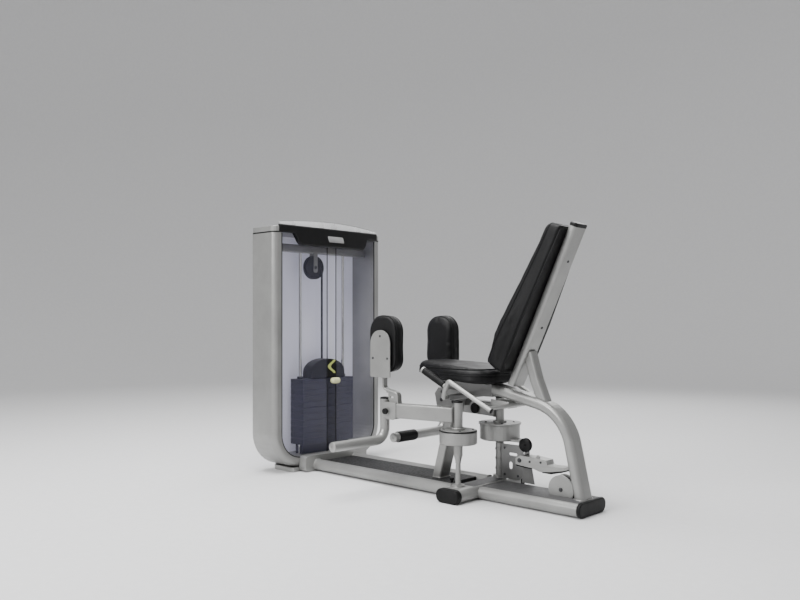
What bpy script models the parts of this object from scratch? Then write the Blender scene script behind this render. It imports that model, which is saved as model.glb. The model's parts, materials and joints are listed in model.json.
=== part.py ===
"""Seated inner and outer thigh machine, with a weight tower, two coupled arms and swivelling pads.

The machine is laid out about its own middle plane, with +X towards the seat back, +Y towards the
user's right-hand side and +Z up. Everything hangs from one empty, which moves the layout sideways
and down so that the origin lies on the floor in the middle of the footprint.
"""
import math

import bmesh
import bpy
from mathutils import Matrix, Vector

# ------------------------------------------------------------------ driving sizes, in metres
GAP = 0.0003                    # between pieces that touch
FLOOR = 0.018                   # height of the floor in the layout
SIDES = {"near": -1.0, "far": 1.0}

REAR_END = 0.947                # rearmost point, on the rubber cap
CROSS_X = 0.347                 # middle of the cross tube
CROSS_HALF = 0.235              # half length of its steel part
BASE_TOP = 0.082                # top of the rear base
BASE_BOTTOM = 0.020
BASE_WIDTH = 0.225
FRONT_TUBE_Y = 0.144
FRONT_TUBE_R = 0.030
FRONT_TUBE_Z = 0.053

TOWER_BACK = -0.947
TOWER_FRONT = -0.747
TOWER_HALF = 0.408
TOWER_WALL = 0.053
TOWER_RADIUS = 0.190            # outer radius of the bottom corners
TOWER_BOTTOM = 0.043
TOWER_SEAM = 1.340
FRONT_CORNER = 0.032            # radius of the shells' front corners
CAP_WIDE = 0.035                # side shell caps, across
PANEL_X = -0.760                # front face of the tinted panels
SLOT_Y = 0.020                  # middle of the open slot between them
SLOT_HALF = 0.034
STACK_X = (-0.905, -0.790)
STACK_Y = 0.025                 # middle of the weights
STACK_HALF = 0.195
STACK_TOP = 0.500
GUIDE_X = -0.848
GUIDE_Y = 0.165
SHROUD_TOP = STACK_TOP + 0.135
PULLEY_Z = 1.165                # top pulley, whose face is towards the user
PULLEY_R = 0.068
GROOVE = 0.008
PULLEY_Y = SLOT_Y - PULLEY_R + GROOVE - 0.0033

PIVOT_X = 0.332                 # arm shafts
PIVOT_Y = 0.165
ARM_REACH = 0.4225              # from the shaft to the foot bar
ARM_SPLAY = math.radians(9.0)
ARM_Z = 0.415
ARM_TALL = 0.072
ARM_WIDE = 0.050
ROD_R = 0.011
SLEEVE_R = 0.021
BORE_R = 0.0115
SLEEVE_TOP = 0.474

PAD_Y = 0.220                   # middle of the cushion, from the middle plane
PAD_THICK = 0.090
PAD_WIDE = 0.200
PAD_Z = (0.597, 0.891)
FOOT_BAR_R = 0.024
FOOT_BAR_Z = 0.267
FOOT_BEND = 0.060

SPINE_WIDE = 0.090
SPINE_DEEP = 0.052
SEAT_X = 0.250                  # where the seat cushion's underside is at SEAT_Z
SEAT_Z = 0.576
SEAT_TILT = math.radians(4.0)
SEAT_THICK = 0.070
SEAT_BAR_X = 0.290              # cross bar under the seat that carries the handles
SEAT_BAR_Z = 0.497
SEAT_BAR_HALF = 0.196
HANDLE_Y = 0.222
HANDLE_R = 0.011
GRIP_R = 0.0165
BACK_FOOT = (0.5442, 0.562)     # lower end of the back tube's axis, X and Z
BACK_TOP = (0.8753, 1.279)
BACK_DEEP = 0.037
PULLEY_CENTRE = (0.800, 0.111)  # rear pulley, X and Z
COVER_R = 0.064
FOOT_BAR_REACH = {"near": 0.350, "far": 0.400}
# middle plane of the machine, measured from the middle of its footprint
SIDEWAYS = (PIVOT_Y + ARM_REACH * math.sin(ARM_SPLAY) + FOOT_BAR_REACH["near"] - TOWER_HALF) / 2

# ------------------------------------------------------------------ finishes
FINISHES = {
    "silver_paint": ((0.60, 0.60, 0.58), 0.34, 0.55),
    "grey_paint": ((0.34, 0.34, 0.34), 0.42, 0.45),
    "dark_deck": ((0.055, 0.055, 0.058), 0.62, 0.0),
    "black_rubber": ((0.020, 0.020, 0.021), 0.60, 0.0),
    "black_leather": ((0.022, 0.022, 0.023), 0.46, 0.0),
    "black_plastic": ((0.036, 0.036, 0.038), 0.40, 0.0),
    "tinted_panel": ((0.50, 0.50, 0.60), 0.12, 0.0),
    "clear_plastic": ((0.82, 0.84, 0.86), 0.15, 0.0),
    "pale_panel": ((0.62, 0.62, 0.66), 0.50, 0.0),
    "chrome": ((0.78, 0.78, 0.79), 0.12, 1.0),
    "iron": ((0.050, 0.050, 0.075), 0.50, 0.3),
    "light_alloy": ((0.80, 0.79, 0.76), 0.30, 0.6),
    "yellow_green": ((0.62, 0.68, 0.24), 0.45, 0.0),
}


def finish(name):
    """The Principled material of a finish, made once."""
    if name in bpy.data.materials:
        return bpy.data.materials[name]
    colour, roughness, metallic = FINISHES[name]
    material = bpy.data.materials.new(name)
    material.use_nodes = True
    shader = material.node_tree.nodes["Principled BSDF"]
    shader.inputs["Base Color"].default_value = (*colour, 1.0)
    shader.inputs["Roughness"].default_value = roughness
    shader.inputs["Metallic"].default_value = metallic
    return material


# ------------------------------------------------------------------ shape helpers
def place(name, bm, finish_name, pivot=(0.0, 0.0, 0.0), sharp=35.0):
    """Turn a bmesh into an object whose origin lies at pivot, shaded smooth up to a sharp angle."""
    bmesh.ops.recalc_face_normals(bm, faces=bm.faces)
    bmesh.ops.translate(bm, verts=bm.verts, vec=-Vector(pivot))
    mesh = bpy.data.meshes.new(name)
    bm.to_mesh(mesh)
    bm.free()
    mesh.shade_smooth()
    mesh.set_sharp_from_angle(angle=math.radians(sharp))
    mesh.materials.append(finish(finish_name))
    thing = bpy.data.objects.new(name, mesh)
    thing.location = pivot
    bpy.context.scene.collection.objects.link(thing)
    return thing


def loft(rings):
    """A closed body through rings of points, with flat ends."""
    bm = bmesh.new()
    loops = [[bm.verts.new(point) for point in ring] for ring in rings]
    count = len(loops[0])
    for one, two in zip(loops, loops[1:]):
        for i in range(count):
            j = (i + 1) % count
            bm.faces.new((one[i], one[j], two[j], two[i]))
    bm.faces.new(loops[0])
    bm.faces.new(list(reversed(loops[-1])))
    return bm


def prism(outline, low, high, axis="x"):
    """Extrude a closed outline from low to high. Its two coordinates are the other two axes, in order."""
    def lift(point, height):
        a, b = point
        return {"x": (height, a, b), "y": (a, height, b), "z": (a, b, height)}[axis]
    return loft([[lift(point, low) for point in outline], [lift(point, high) for point in outline]])


def arc(centre, radius, start, end, steps):
    """Points on a circle from start to end, in degrees, both included."""
    turn = [math.radians(start + (end - start) * i / steps) for i in range(steps + 1)]
    return [(centre[0] + radius * math.cos(t), centre[1] + radius * math.sin(t)) for t in turn]


def rounded(wide, tall, radius, steps=4, centre=(0.0, 0.0)):
    """A rectangle with round corners, counter-clockwise."""
    x, y = wide / 2 - radius, tall / 2 - radius
    corners = ((x, y, 0), (-x, y, 90), (-x, -y, 180), (x, -y, 270))
    points = []
    for cx, cy, start in corners:
        points += arc((centre[0] + cx, centre[1] + cy), radius, start, start + 90, steps)
    return points


def circle(radius, steps=24, centre=(0.0, 0.0)):
    return arc(centre, radius, 0, 360 - 360 / steps, steps - 1)


def fillet(corners, radius, steps=6):
    """Round the inner corners of an open path with arcs that touch both legs."""
    corners = [Vector(corner) for corner in corners]
    path = [corners[0]]
    for before, corner, after in zip(corners, corners[1:], corners[2:]):
        into = (before - corner).normalized()
        out = (after - corner).normalized()
        half = into.angle(out) / 2
        reach = radius / math.tan(half)
        centre = corner + (into + out).normalized() * (radius / math.sin(half))
        start = corner + into * reach - centre
        end = corner + out * reach - centre
        bend = start.angle(end)
        for i in range(steps + 1):
            part = i / steps
            first = math.sin((1 - part) * bend) / math.sin(bend)
            second = math.sin(part * bend) / math.sin(bend)
            path.append(centre + start * first + end * second)
    path.append(corners[-1])
    return path


def sweep(path, section, side):
    """Carry a section along a path. The section's first coordinate runs along side, which is constant."""
    path = [Vector(point) for point in path]
    side = Vector(side).normalized()
    rings = []
    for i, point in enumerate(path):
        ahead = path[min(i + 1, len(path) - 1)] - point
        behind = point - path[max(i - 1, 0)]
        tangent = (ahead.normalized() + behind.normalized()).normalized()
        cosine = tangent.dot(ahead.normalized()) if ahead.length > 0 else 1.0
        up = tangent.cross(side).normalized()
        stretch = 1.0 / max(cosine, 0.5) if 0 < i < len(path) - 1 else 1.0
        rings.append([point + side * a + up * (b * stretch) for a, b in section])
    return loft(rings)


def turned(profile, steps=24, bore=0.0):
    """A body turned about Z from (radius, height) points listed bottom to top, solid or with a bore."""
    rings = [[(r * x, r * y, z) for x, y in circle(1.0, steps)] for r, z in profile]
    if not bore:
        return loft(rings)
    inner = [[(bore * x, bore * y, z) for x, y in circle(1.0, steps)]
             for z in (profile[-1][1], profile[0][1])]
    bm = bmesh.new()
    loops = [[bm.verts.new(point) for point in ring] for ring in rings + inner]
    for one, two in zip(loops, loops[1:] + loops[:1]):
        for i in range(steps):
            j = (i + 1) % steps
            bm.faces.new((one[i], one[j], two[j], two[i]))
    return bm


def move(bm, matrix):
    bmesh.ops.transform(bm, matrix=matrix, verts=bm.verts)
    return bm


def along_y(bm):
    """Turn a body made about Z so that it lies about Y."""
    return move(bm, Matrix.Rotation(math.radians(-90), 4, "X"))


def at(x, y, z):
    return Matrix.Translation((x, y, z))


def hidden(name, bm):
    """A helper body for a Boolean, which is left out of the model."""
    thing = place(name, bm, "iron")
    thing.hide_render = True
    thing.display_type = "WIRE"
    return thing


def combine(thing, helpers, operation):
    for helper in helpers:
        modifier = thing.modifiers.new(helper.name, "BOOLEAN")
        modifier.operation = operation
        modifier.solver = "EXACT"
        modifier.object = helper


def fuse(thing, *bodies):
    combine(thing, [hidden(f"add_{thing.name}_{i}", bm) for i, bm in enumerate(bodies)], "UNION")


def cut(thing, *bodies):
    combine(thing, [hidden(f"cut_{thing.name}_{i}", bm) for i, bm in enumerate(bodies)], "DIFFERENCE")


def soften(thing, width, segments=2):
    """Round the sharp edges of a piece."""
    modifier = thing.modifiers.new("edges", "BEVEL")
    modifier.width = width
    modifier.segments = segments
    modifier.limit_method = "ANGLE"
    modifier.angle_limit = math.radians(40)


# ------------------------------------------------------------------ base
def base():
    middle = (BASE_TOP + BASE_BOTTOM) / 2
    tall = BASE_TOP - BASE_BOTTOM
    oval = rounded(BASE_WIDTH, tall, tall / 2 - 0.002, 6, (0.0, middle))
    cross_half_x = 0.064
    cap_x = REAR_END - 0.017
    tube = place("rear_base_tube", prism(oval, CROSS_X + cross_half_x + GAP, cap_x - GAP), "silver_paint")
    cut(tube, prism(rounded(0.118, 0.030, 0.004, 2, (PULLEY_CENTRE[0], 0.0)), BASE_TOP - 0.036, 0.2, "z"))

    cap_tall = BASE_TOP + 0.002 - FLOOR
    cap_middle = FLOOR + cap_tall / 2
    cap = rounded(BASE_WIDTH + 0.004, cap_tall, cap_tall / 2 - 0.001, 6, (0.0, cap_middle))
    soften(place("rear_base_cap", prism(cap, cap_x, REAR_END), "black_rubber"), 0.006)

    cross = rounded(cross_half_x * 2, tall, tall / 2 - 0.002, 6, (CROSS_X, middle))
    place("cross_tube", prism(cross, -CROSS_HALF + GAP, CROSS_HALF - GAP, "y"), "silver_paint")
    for side, sign in SIDES.items():
        outline = rounded(cross_half_x * 2 + 0.006, cap_tall, cap_tall / 2 - 0.001, 6, (CROSS_X, cap_middle))
        low, high = sorted((sign * CROSS_HALF, sign * (CROSS_HALF + 0.035)))
        soften(place(f"cross_cap_{side}", prism(outline, low, high, "y"), "black_rubber"), 0.006)

    beam_x = (TOWER_FRONT + GAP, TOWER_FRONT + 0.055)
    beam = rounded(0.470, 0.086, 0.024, 4, (0.0, 0.063))
    place("front_beam", prism(beam, *beam_x), "silver_paint")
    for side, sign in SIDES.items():
        tube = circle(FRONT_TUBE_R, 24, (sign * FRONT_TUBE_Y, FRONT_TUBE_Z))
        span = (beam_x[1] + GAP, CROSS_X - cross_half_x - GAP)
        place(f"front_tube_{side}", prism(tube, *span), "silver_paint")
    deck_half = FRONT_TUBE_Y - FRONT_TUBE_R - GAP
    deck = rounded(0.905, deck_half * 2, 0.004, 2, (-0.2295, 0.0))
    place("foot_deck", prism(deck, 0.040, 0.072, "z"), "dark_deck")


# ------------------------------------------------------------------ tower
def wall_section():
    """Plan of the side shell: its thickness outwards and its depth along X, with a round front corner."""
    deep = TOWER_FRONT - TOWER_BACK
    points = [(0.0, 0.0), (TOWER_WALL - 0.006, 0.0)] + arc((TOWER_WALL - 0.008, 0.008), 0.008, -60, 0, 2)
    points += arc((TOWER_WALL - FRONT_CORNER, deep - FRONT_CORNER), FRONT_CORNER, 0, 90, 6)
    points += arc((0.006, deep - 0.006), 0.006, 90, 180, 2)
    return points


def cap_outline(sign):
    """Plan of the cap above a side shell."""
    front = TOWER_FRONT - FRONT_CORNER
    corner = arc((TOWER_HALF - FRONT_CORNER, front), FRONT_CORNER, 90, 0, 3)
    inner = TOWER_HALF - CAP_WIDE
    points = [(TOWER_HALF, TOWER_BACK + 0.008), (TOWER_HALF - 0.008, TOWER_BACK), (inner, TOWER_BACK),
              (inner, TOWER_FRONT)] + corner
    return [(x, sign * y) for y, x in points]


def tower_shells():
    """Each side shell runs down, round the bottom corner and inwards to the tower base."""
    inner_radius = TOWER_RADIUS - TOWER_WALL
    corner_y = TOWER_HALF - TOWER_RADIUS
    corner_z = TOWER_BOTTOM + TOWER_RADIUS
    for side, sign in SIDES.items():
        spots = [(TOWER_HALF - TOWER_WALL, TOWER_SEAM, 0.0), (TOWER_HALF - TOWER_WALL, corner_z, 0.0)]
        for i in range(1, 11):
            turn = math.radians(9.0 * i)
            y = corner_y + inner_radius * math.cos(turn)
            spots.append((y, corner_z - inner_radius * math.sin(turn), turn))
        rings = []
        for y, z, turn in spots:
            out = Vector((0.0, sign * math.cos(turn), -math.sin(turn)))
            foot = Vector((TOWER_BACK, sign * y, z))
            rings.append([foot + out * a + Vector((b, 0.0, 0.0)) for a, b in wall_section()])
        place(f"tower_side_{side}", loft(rings), "silver_paint")
        cap = prism(cap_outline(sign), TOWER_SEAM + 0.0033, TOWER_SEAM + 0.034, "z")
        soften(place(f"side_cap_{side}", cap, "silver_paint"), 0.010, 3)


def tower_base():
    """Floor plate of the tower, with the sill that closes the shells at the bottom."""
    sill_half = TOWER_HALF - TOWER_RADIUS - GAP
    foot = rounded(0.225, 0.560, 0.055, 6, (-0.832, 0.0))
    node = place("tower_base", prism(foot, FLOOR, TOWER_BOTTOM - GAP, "z"), "silver_paint")
    sill = prism(rounded(0.19, sill_half * 2, 0.004, 2, (-0.8475, 0.0)), TOWER_BOTTOM - 0.010,
                 TOWER_BOTTOM + TOWER_WALL, "z")
    fuse(node, sill)
    cut(node, prism(rounded(0.120, 0.600, 0.010, 3, (TOWER_FRONT + 0.060, 0.0)), -0.01, 0.20, "z"))


def panel_outline(low_y, high_y, inset):
    """Part of the tower's opening between two heights of Y, following the round bottom corners."""
    radius = TOWER_RADIUS - TOWER_WALL - inset
    side = TOWER_HALF - TOWER_WALL - inset
    bottom = TOWER_BOTTOM + TOWER_WALL + inset
    if high_y <= 0:
        corner = arc((-side + radius, bottom + radius), radius, 180, 270, 8)
        return [(-side, TOWER_SEAM)] + corner + [(high_y, bottom), (high_y, TOWER_SEAM)]
    corner = arc((side - radius, bottom + radius), radius, 270, 360, 8)
    return [(low_y, TOWER_SEAM), (low_y, bottom)] + corner + [(side, TOWER_SEAM)]


def tower_panels():
    back = panel_outline(-1.0, 0.0, 0.001)[:-2]
    mirror = [(-y, z) for y, z in reversed(back)]
    place("tower_back_panel", prism(back + mirror, TOWER_BACK + 0.004, TOWER_BACK + 0.008), "pale_panel")
    near = panel_outline(-1.0, SLOT_Y - SLOT_HALF, 0.001)
    far = panel_outline(SLOT_Y + SLOT_HALF, 1.0, 0.001)
    for name, outline in (("front_panel_near", near), ("front_panel_far", far)):
        place(name, prism(outline, PANEL_X - 0.005, PANEL_X), "tinted_panel")


def bow(y, depth):
    """How far the top pieces bulge forward at a place across the tower."""
    return depth * (1.0 - (y / TOWER_HALF) ** 2)


def header_top(y):
    """The header is a little lower in the middle than at its ends."""
    return TOWER_SEAM + 0.046 - bow(y, 0.005)


def tower_top():
    """Black header across the front and the clear cover above it, both bowed forward."""
    stations = [0.372 * t for t in (-1.0, -0.92, -0.84, -0.74, -0.70, -0.66, -0.62, -0.58, -0.30, -0.10,
                                    0.10, 0.30, 0.58, 0.63, 0.67, 0.71, 0.76, 0.86, 0.93, 1.0)]

    def header_drop(y):
        edge = min(max((y + 0.272) / 0.050, 0.0), 1.0) * min(max((0.280 - y) / 0.030, 0.0), 1.0)
        return 0.062 * math.sin(edge * math.pi / 2)

    rings = []
    for y in stations:
        front = TOWER_FRONT + bow(y, 0.030)
        low = TOWER_SEAM + 0.0006 - header_drop(y)
        high = header_top(y)
        back = PANEL_X + 0.0015
        rings.append([(back, y, low), (front - 0.006, y, low), (front, y, low + 0.006),
                      (front, y, high - 0.006), (front - 0.006, y, high), (back, y, high)])
    place("header", loft(rings), "black_plastic")

    lid_side = TOWER_HALF - CAP_WIDE - GAP
    lid = prism(rounded(0.176, lid_side * 2, 0.004, 2, (TOWER_BACK + 0.0945, 0.0)), TOWER_SEAM + GAP,
                TOWER_SEAM + 0.024, "z")
    place("tower_lid", lid, "grey_paint")

    rings = []
    for y in [0.368 * t for t in (-1.0, -0.86, -0.70, -0.50, -0.25, 0.0, 0.25, 0.50, 0.70, 0.86, 1.0)]:
        crown = 1 - (y / 0.368) ** 2
        front = TOWER_FRONT + bow(y, 0.030)
        low = header_top(y) + 0.001
        high = low + 0.018 + 0.024 * crown
        back = PANEL_X - 0.022
        rings.append([(back, y, low), (front - 0.002, y, low), (front, y, low + 0.002),
                      (back + 0.010, y, high), (back, y, high)])
    place("top_cover", loft(rings), "clear_plastic")


def stack_holes(low, high):
    rods = [(GUIDE_X, SLOT_Y + GUIDE_Y), (GUIDE_X, SLOT_Y - GUIDE_Y), (GUIDE_X, SLOT_Y)]
    return [prism(circle(0.0135, 16, rod), low, high, "z") for rod in rods]


def weights():
    low_z = TOWER_BOTTOM + TOWER_WALL + GAP
    mid_x = sum(STACK_X) / 2
    deep = STACK_X[1] - STACK_X[0]
    plates = 10
    pitch = (STACK_TOP - 0.150) / plates
    groove = 0.0022
    rings = []
    for i in range(plates):
        foot = 0.150 + pitch * i
        high = foot + pitch
        for inset, z in ((groove, foot), (0.0, foot + groove), (0.0, high - groove), (groove, high)):
            section = rounded(deep - 2 * inset, (STACK_HALF - inset) * 2, 0.006, 2, (mid_x, STACK_Y))
            rings.append([(x, y, z) for x, y in section])
    stack = place("weight_stack", loft(rings), "iron")
    fuse(stack, prism(rounded(0.060, 0.360, 0.004, 2, (mid_x, STACK_Y)), low_z, 0.152, "z"))
    cut(stack, *stack_holes(0.05, 0.60))

    for side, sign in SIDES.items():
        rod = turned([(0.0095, low_z + 0.001), (0.0095, 1.2446)], 16)
        place(f"guide_rod_{side}", move(rod, at(GUIDE_X, SLOT_Y + sign * GUIDE_Y, 0.0)), "chrome")

    top = rounded(deep, STACK_HALF * 2, 0.006, 2, (mid_x, STACK_Y))
    carriage = place("carriage_plate", prism(top, STACK_TOP + GAP, STACK_TOP + 0.022, "z"), "iron")
    cut(carriage, *stack_holes(0.45, 0.60)[:2])
    fuse(carriage, move(turned([(0.011, 0.17), (0.011, STACK_TOP + 0.010)], 16), at(GUIDE_X, SLOT_Y, 0.0)))

    dome = [(-0.130, STACK_TOP + 0.0223), (0.130, STACK_TOP + 0.0223)]
    dome += [(0.130 * math.cos(t), SHROUD_TOP - 0.075 + 0.075 * math.sin(t))
             for t in (math.radians(15.0 * i) for i in range(13))]
    dome = [(SLOT_Y + 0.01 + y, z) for y, z in dome]
    soften(place("carriage_shroud", prism(dome, -0.880, -0.800), "black_plastic"), 0.006)

    pin_z = STACK_TOP + 0.011
    profile = [(0.005, 0.0), (0.005, 0.040), (0.015, 0.042), (0.018, 0.048), (0.018, 0.068), (0.013, 0.074)]
    pin = move(turned(profile, 16), Matrix.Rotation(math.radians(90), 4, "Y"))
    place("selector_pin", move(pin, at(STACK_X[1] + GAP, SLOT_Y + 0.004, pin_z)), "yellow_green",
          (STACK_X[1], SLOT_Y + 0.004, pin_z))


def top_works():
    """Upper beam with the hanger for the top pulley, and the belt that falls to the carriage."""
    beam = rounded(0.040, 0.045, 0.005, 2, (GUIDE_X, 1.2675))
    half = TOWER_HALF - TOWER_WALL - GAP
    node = place("upper_beam", prism(beam, -half, half, "y"), "grey_paint")
    hanger = rounded(0.030, 0.130, 0.012, 3, (PULLEY_Y, 1.2000))
    cheeks = [prism(hanger, GUIDE_X + x - 0.0015, GUIDE_X + x + 0.0015) for x in (-0.0178, 0.0178)]
    quarter = Matrix.Rotation(math.radians(90), 4, "Y")
    pin = move(turned([(0.006, -0.017), (0.006, 0.017)], 12), at(GUIDE_X, PULLEY_Y, PULLEY_Z) @ quarter)
    fuse(node, *cheeks, pin)

    groove_r = PULLEY_R - GROOVE
    wheel = turned([(PULLEY_R, -0.013), (PULLEY_R, -0.010), (groove_r, -0.0085), (groove_r, 0.0085),
                    (PULLEY_R, 0.010), (PULLEY_R, 0.013)], 32, 0.0065)
    centre = (GUIDE_X, PULLEY_Y, PULLEY_Z)
    place("top_pulley", move(wheel, at(*centre) @ quarter), "black_plastic", centre)

    cable = rounded(0.014, 0.005, 0.0015, 2, (GUIDE_X, SLOT_Y))
    place("lift_cable", prism(cable, SHROUD_TOP + GAP, PULLEY_Z, "z"), "black_rubber")


# ------------------------------------------------------------------ seat frame
def spine_line():
    """Axis of the curved tube that runs from under the seat down to the rear base."""
    return fillet([(0.4370, 0.0, 0.5350), (0.8158, 0.0, 0.4558), (0.9003, 0.0, 0.0800)], 0.220, 14)


def plane_tube(name, line, section, steps):
    """A silver tube along a line in the middle plane, with a section of given width, depth and radius."""
    return place(name, sweep(line, rounded(*section, steps), (0, 1, 0)), "silver_paint")


def seat_frame():
    lean = [(0.087, 0.0, BASE_TOP - 0.008), (0.200, 0.0, 0.4967)]
    post = plane_tube("front_post", lean, (0.082, 0.051, 0.010), 3)
    cut(post, prism(rounded(0.60, 0.40, 0.01, 1, (0.1, 0.0)), -0.10, 0.0723, "z"),
        prism(rounded(0.60, 0.40, 0.01, 1, (0.2, 0.0)), 0.4967, 0.60, "z"))

    rail_x = (0.125, 0.428)
    rail_side = [(x, seat_bottom(x) - 0.004) for x in rail_x] + [(x, SEAT_BAR_Z) for x in reversed(rail_x)]
    rail = place("seat_rail", prism(rail_side, -0.030, 0.030, "y"), "grey_paint")
    corners = ((0.10, 0.006), (0.43, 0.006), (0.43, GAP), (0.10, GAP))
    pan_side = [(x, seat_bottom(x) - drop) for x, drop in corners]
    pan = prism(pan_side, -0.085, 0.085, "y")
    bar_outline = rounded(0.030, 0.026, 0.006, 3, (SEAT_BAR_X, SEAT_BAR_Z))
    bar = prism(bar_outline, -SEAT_BAR_HALF, SEAT_BAR_HALF, "y")
    fuse(rail, pan, bar)

    line = spine_line()
    spine = plane_tube("spine_tube", line, (SPINE_WIDE, SPINE_DEEP, 0.021), 5)
    cut(spine, prism(rounded(0.80, 0.40, 0.01, 1, (0.8, 0.0)), -0.10, BASE_TOP + GAP, "z"))

    back_line = [(BACK_FOOT[0], 0.0, BACK_FOOT[1]), (BACK_TOP[0], 0.0, BACK_TOP[1])]
    tube = plane_tube("back_tube", back_line, (0.098, BACK_DEEP, 0.013), 4)
    brace_line = [(0.6235, 0.0, 0.7140), (0.6600, 0.0, 0.5900), (0.7120, 0.0, 0.4680)]
    brace = plane_tube("back_brace", brace_line, (0.056, 0.050, 0.012), 3)
    spine_cutter = sweep(line, rounded(SPINE_WIDE + 0.02, SPINE_DEEP + 2 * GAP, 0.004, 1), (0, 1, 0))
    tube_cutter = sweep(back_line, rounded(0.14, BACK_DEEP + 2 * GAP, 0.002, 1), (0, 1, 0))
    cut(tube, spine_cutter.copy())
    cut(brace, spine_cutter, tube_cutter)


def seat_bottom(x):
    """Height of the seat cushion's underside, which falls towards the rear."""
    return SEAT_Z - (x - SEAT_X) * math.tan(SEAT_TILT)


def seat_half_width(x):
    """Half width of the seat cushion at a distance along X."""
    nose, wide, tail = 0.020, 0.390, 0.500
    if x <= wide:
        grow = (x - nose) / (wide - nose)
        return 0.118 + 0.082 * math.sin(grow * math.pi / 2) ** 1.3
    return 0.200 - 0.030 * ((x - wide) / (tail - wide)) ** 2


def cushions():
    """Plain solids in the shape of the three kinds of cushion."""
    xs = (0.050, 0.14, 0.22, 0.30, 0.35, 0.390, 0.420)
    upper = [(x, -seat_half_width(x)) for x in xs]
    nose = arc((0.048, -0.080), 0.038, 180, 270, 4)
    tail = [(0.445, -0.184), (0.466, -0.166), (0.481, -0.140), (0.491, -0.105), (0.496, -0.060)]
    half = nose + upper[1:] + tail
    outline = half + [(x, -y) for x, y in reversed(half)]
    rings = []
    for height, inset in ((0.0, 0.012), (0.018, 0.0), (0.050, 0.0), (SEAT_THICK, 0.016)):
        ring = []
        for x, y in outline:
            shrink = 1.0 - inset / 0.2
            px = 0.25 + (x - 0.25) * shrink
            ring.append((px, y * shrink, seat_bottom(px) + height))
        rings.append(ring)
    seat = place("seat_cushion", loft(rings), "black_leather")
    cut(seat, sweep(spine_line(), rounded(SPINE_WIDE + 0.004, SPINE_DEEP + 0.002, 0.004, 1), (0, 1, 0)))

    start, end = Vector((BACK_FOOT[0], 0.0, BACK_FOOT[1])), Vector((BACK_TOP[0], 0.0, BACK_TOP[1]))
    up = (end - start).normalized()
    ahead = Vector((-up.z, 0.0, up.x))
    stations = ((0.046, 0.120, 0.060), (0.064, 0.138, 0.100), (0.200, 0.143, 0.118), (0.270, 0.142, 0.116),
                (0.360, 0.137, 0.108), (0.475, 0.129, 0.098), (0.620, 0.119, 0.088), (0.745, 0.113, 0.078),
                (0.766, 0.110, 0.070), (0.776, 0.102, 0.054))
    rings = []
    for reach, half, thick in stations:
        ring = []
        for side, depth in rounded(half * 2, thick, min(0.020, thick * 0.4), 3, (0.0, thick / 2)):
            proud = BACK_DEEP / 2 + GAP + depth
            ring.append(start + up * reach + ahead * proud + Vector((0.0, side, 0.0)))
        rings.append(ring)
    place("back_cushion", loft(rings), "black_leather")


def across(radius, start, end, spot, steps=12):
    """A round bar along Y from start to end, at a place given by its X and Z."""
    low, high = sorted((start, end))
    return move(along_y(turned([(radius, low), (radius, high)], steps)), at(spot[0], 0.0, spot[1]))


def handles():
    """Side handles: a round tube bent down to the seat frame, with a gripped branch that points forward."""
    grip_foot, grip_end = Vector((0.3060, 0.0, 0.5505)), Vector((0.1600, 0.0, 0.6240))
    grip_axis = (grip_end - grip_foot).normalized()
    lean = Vector((0.0, 0.0, 1.0)).rotation_difference(grip_axis).to_matrix().to_4x4()
    reach = (grip_end - grip_foot).length
    for side, sign in SIDES.items():
        y = sign * HANDLE_Y
        corners = [(0.566, y, 0.458), (0.320, y, 0.578), (0.296, y, 0.530), (SEAT_BAR_X, y, SEAT_BAR_Z)]
        line = fillet(corners, 0.012, 4)
        tube = place(f"handle_{side}", sweep(line, circle(HANDLE_R, 14), (0, 1, 0)), "silver_paint")
        core = HANDLE_R - 0.0005
        branch = [(core, 0.0), (core, reach - 0.010), (GRIP_R, reach - 0.009), (GRIP_R, reach)]
        foot = at(grip_foot.x, y, grip_foot.z) @ lean
        front_leg = across(0.010, sign * (SEAT_BAR_HALF + 0.0005), y, (SEAT_BAR_X, SEAT_BAR_Z))
        rear_leg = across(0.010, sign * GAP, y, (0.545, 0.466))
        fuse(tube, move(turned(branch, 16), foot), front_leg, rear_leg)
        grip = turned([(0.0150, 0.014), (GRIP_R, 0.018), (GRIP_R, reach - 0.0105)], 18, core + 0.0004)
        place(f"grip_{side}", move(grip, foot), "black_rubber")


# ------------------------------------------------------------------ arms
def arm_frame(side):
    """Matrix from an arm's own axes (u along the arm, v outwards, z up) to the machine."""
    sign = SIDES[side]
    along = Vector((-math.cos(ARM_SPLAY), sign * math.sin(ARM_SPLAY), 0.0))
    outwards = Vector((math.sin(ARM_SPLAY), sign * math.cos(ARM_SPLAY), 0.0))
    matrix = Matrix.Identity(4)
    matrix.col[0][:3] = along
    matrix.col[1][:3] = outwards
    matrix.col[3][:3] = (PIVOT_X, sign * PIVOT_Y, 0.0)
    return matrix


def foot_axis(side):
    return arm_frame(side) @ Vector((ARM_REACH, 0.0, 0.0))


def pivots():
    profiles = {
        "near": [(0.030, BASE_TOP + GAP), (0.030, 0.088), (0.0135, 0.096), (ROD_R + 0.001, 0.180),
                 (ROD_R, 0.186), (ROD_R, 0.470)],
        "far": [(0.034, BASE_TOP + GAP), (0.034, 0.090), (SLEEVE_R, 0.092), (SLEEVE_R, 0.250),
                (ROD_R, 0.252), (ROD_R, 0.470)],
    }
    for side, sign in SIDES.items():
        post = move(turned(profiles[side], 24), at(PIVOT_X, sign * PIVOT_Y, 0.0))
        place(f"pivot_post_{side}", post, "silver_paint")


def pad_strap():
    """Curved strap from the end of the arm up to the pad's pivot, in the arm's own axes."""
    corners = [(0.335, 0.0, 0.440), (0.338, 0.0, 0.500), (ARM_REACH, 0.0, 0.520), (ARM_REACH, 0.0, 0.570)]
    return sweep(fillet(corners, 0.022, 5), rounded(0.036, 0.010, 0.003, 2), (0, 1, 0))


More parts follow.
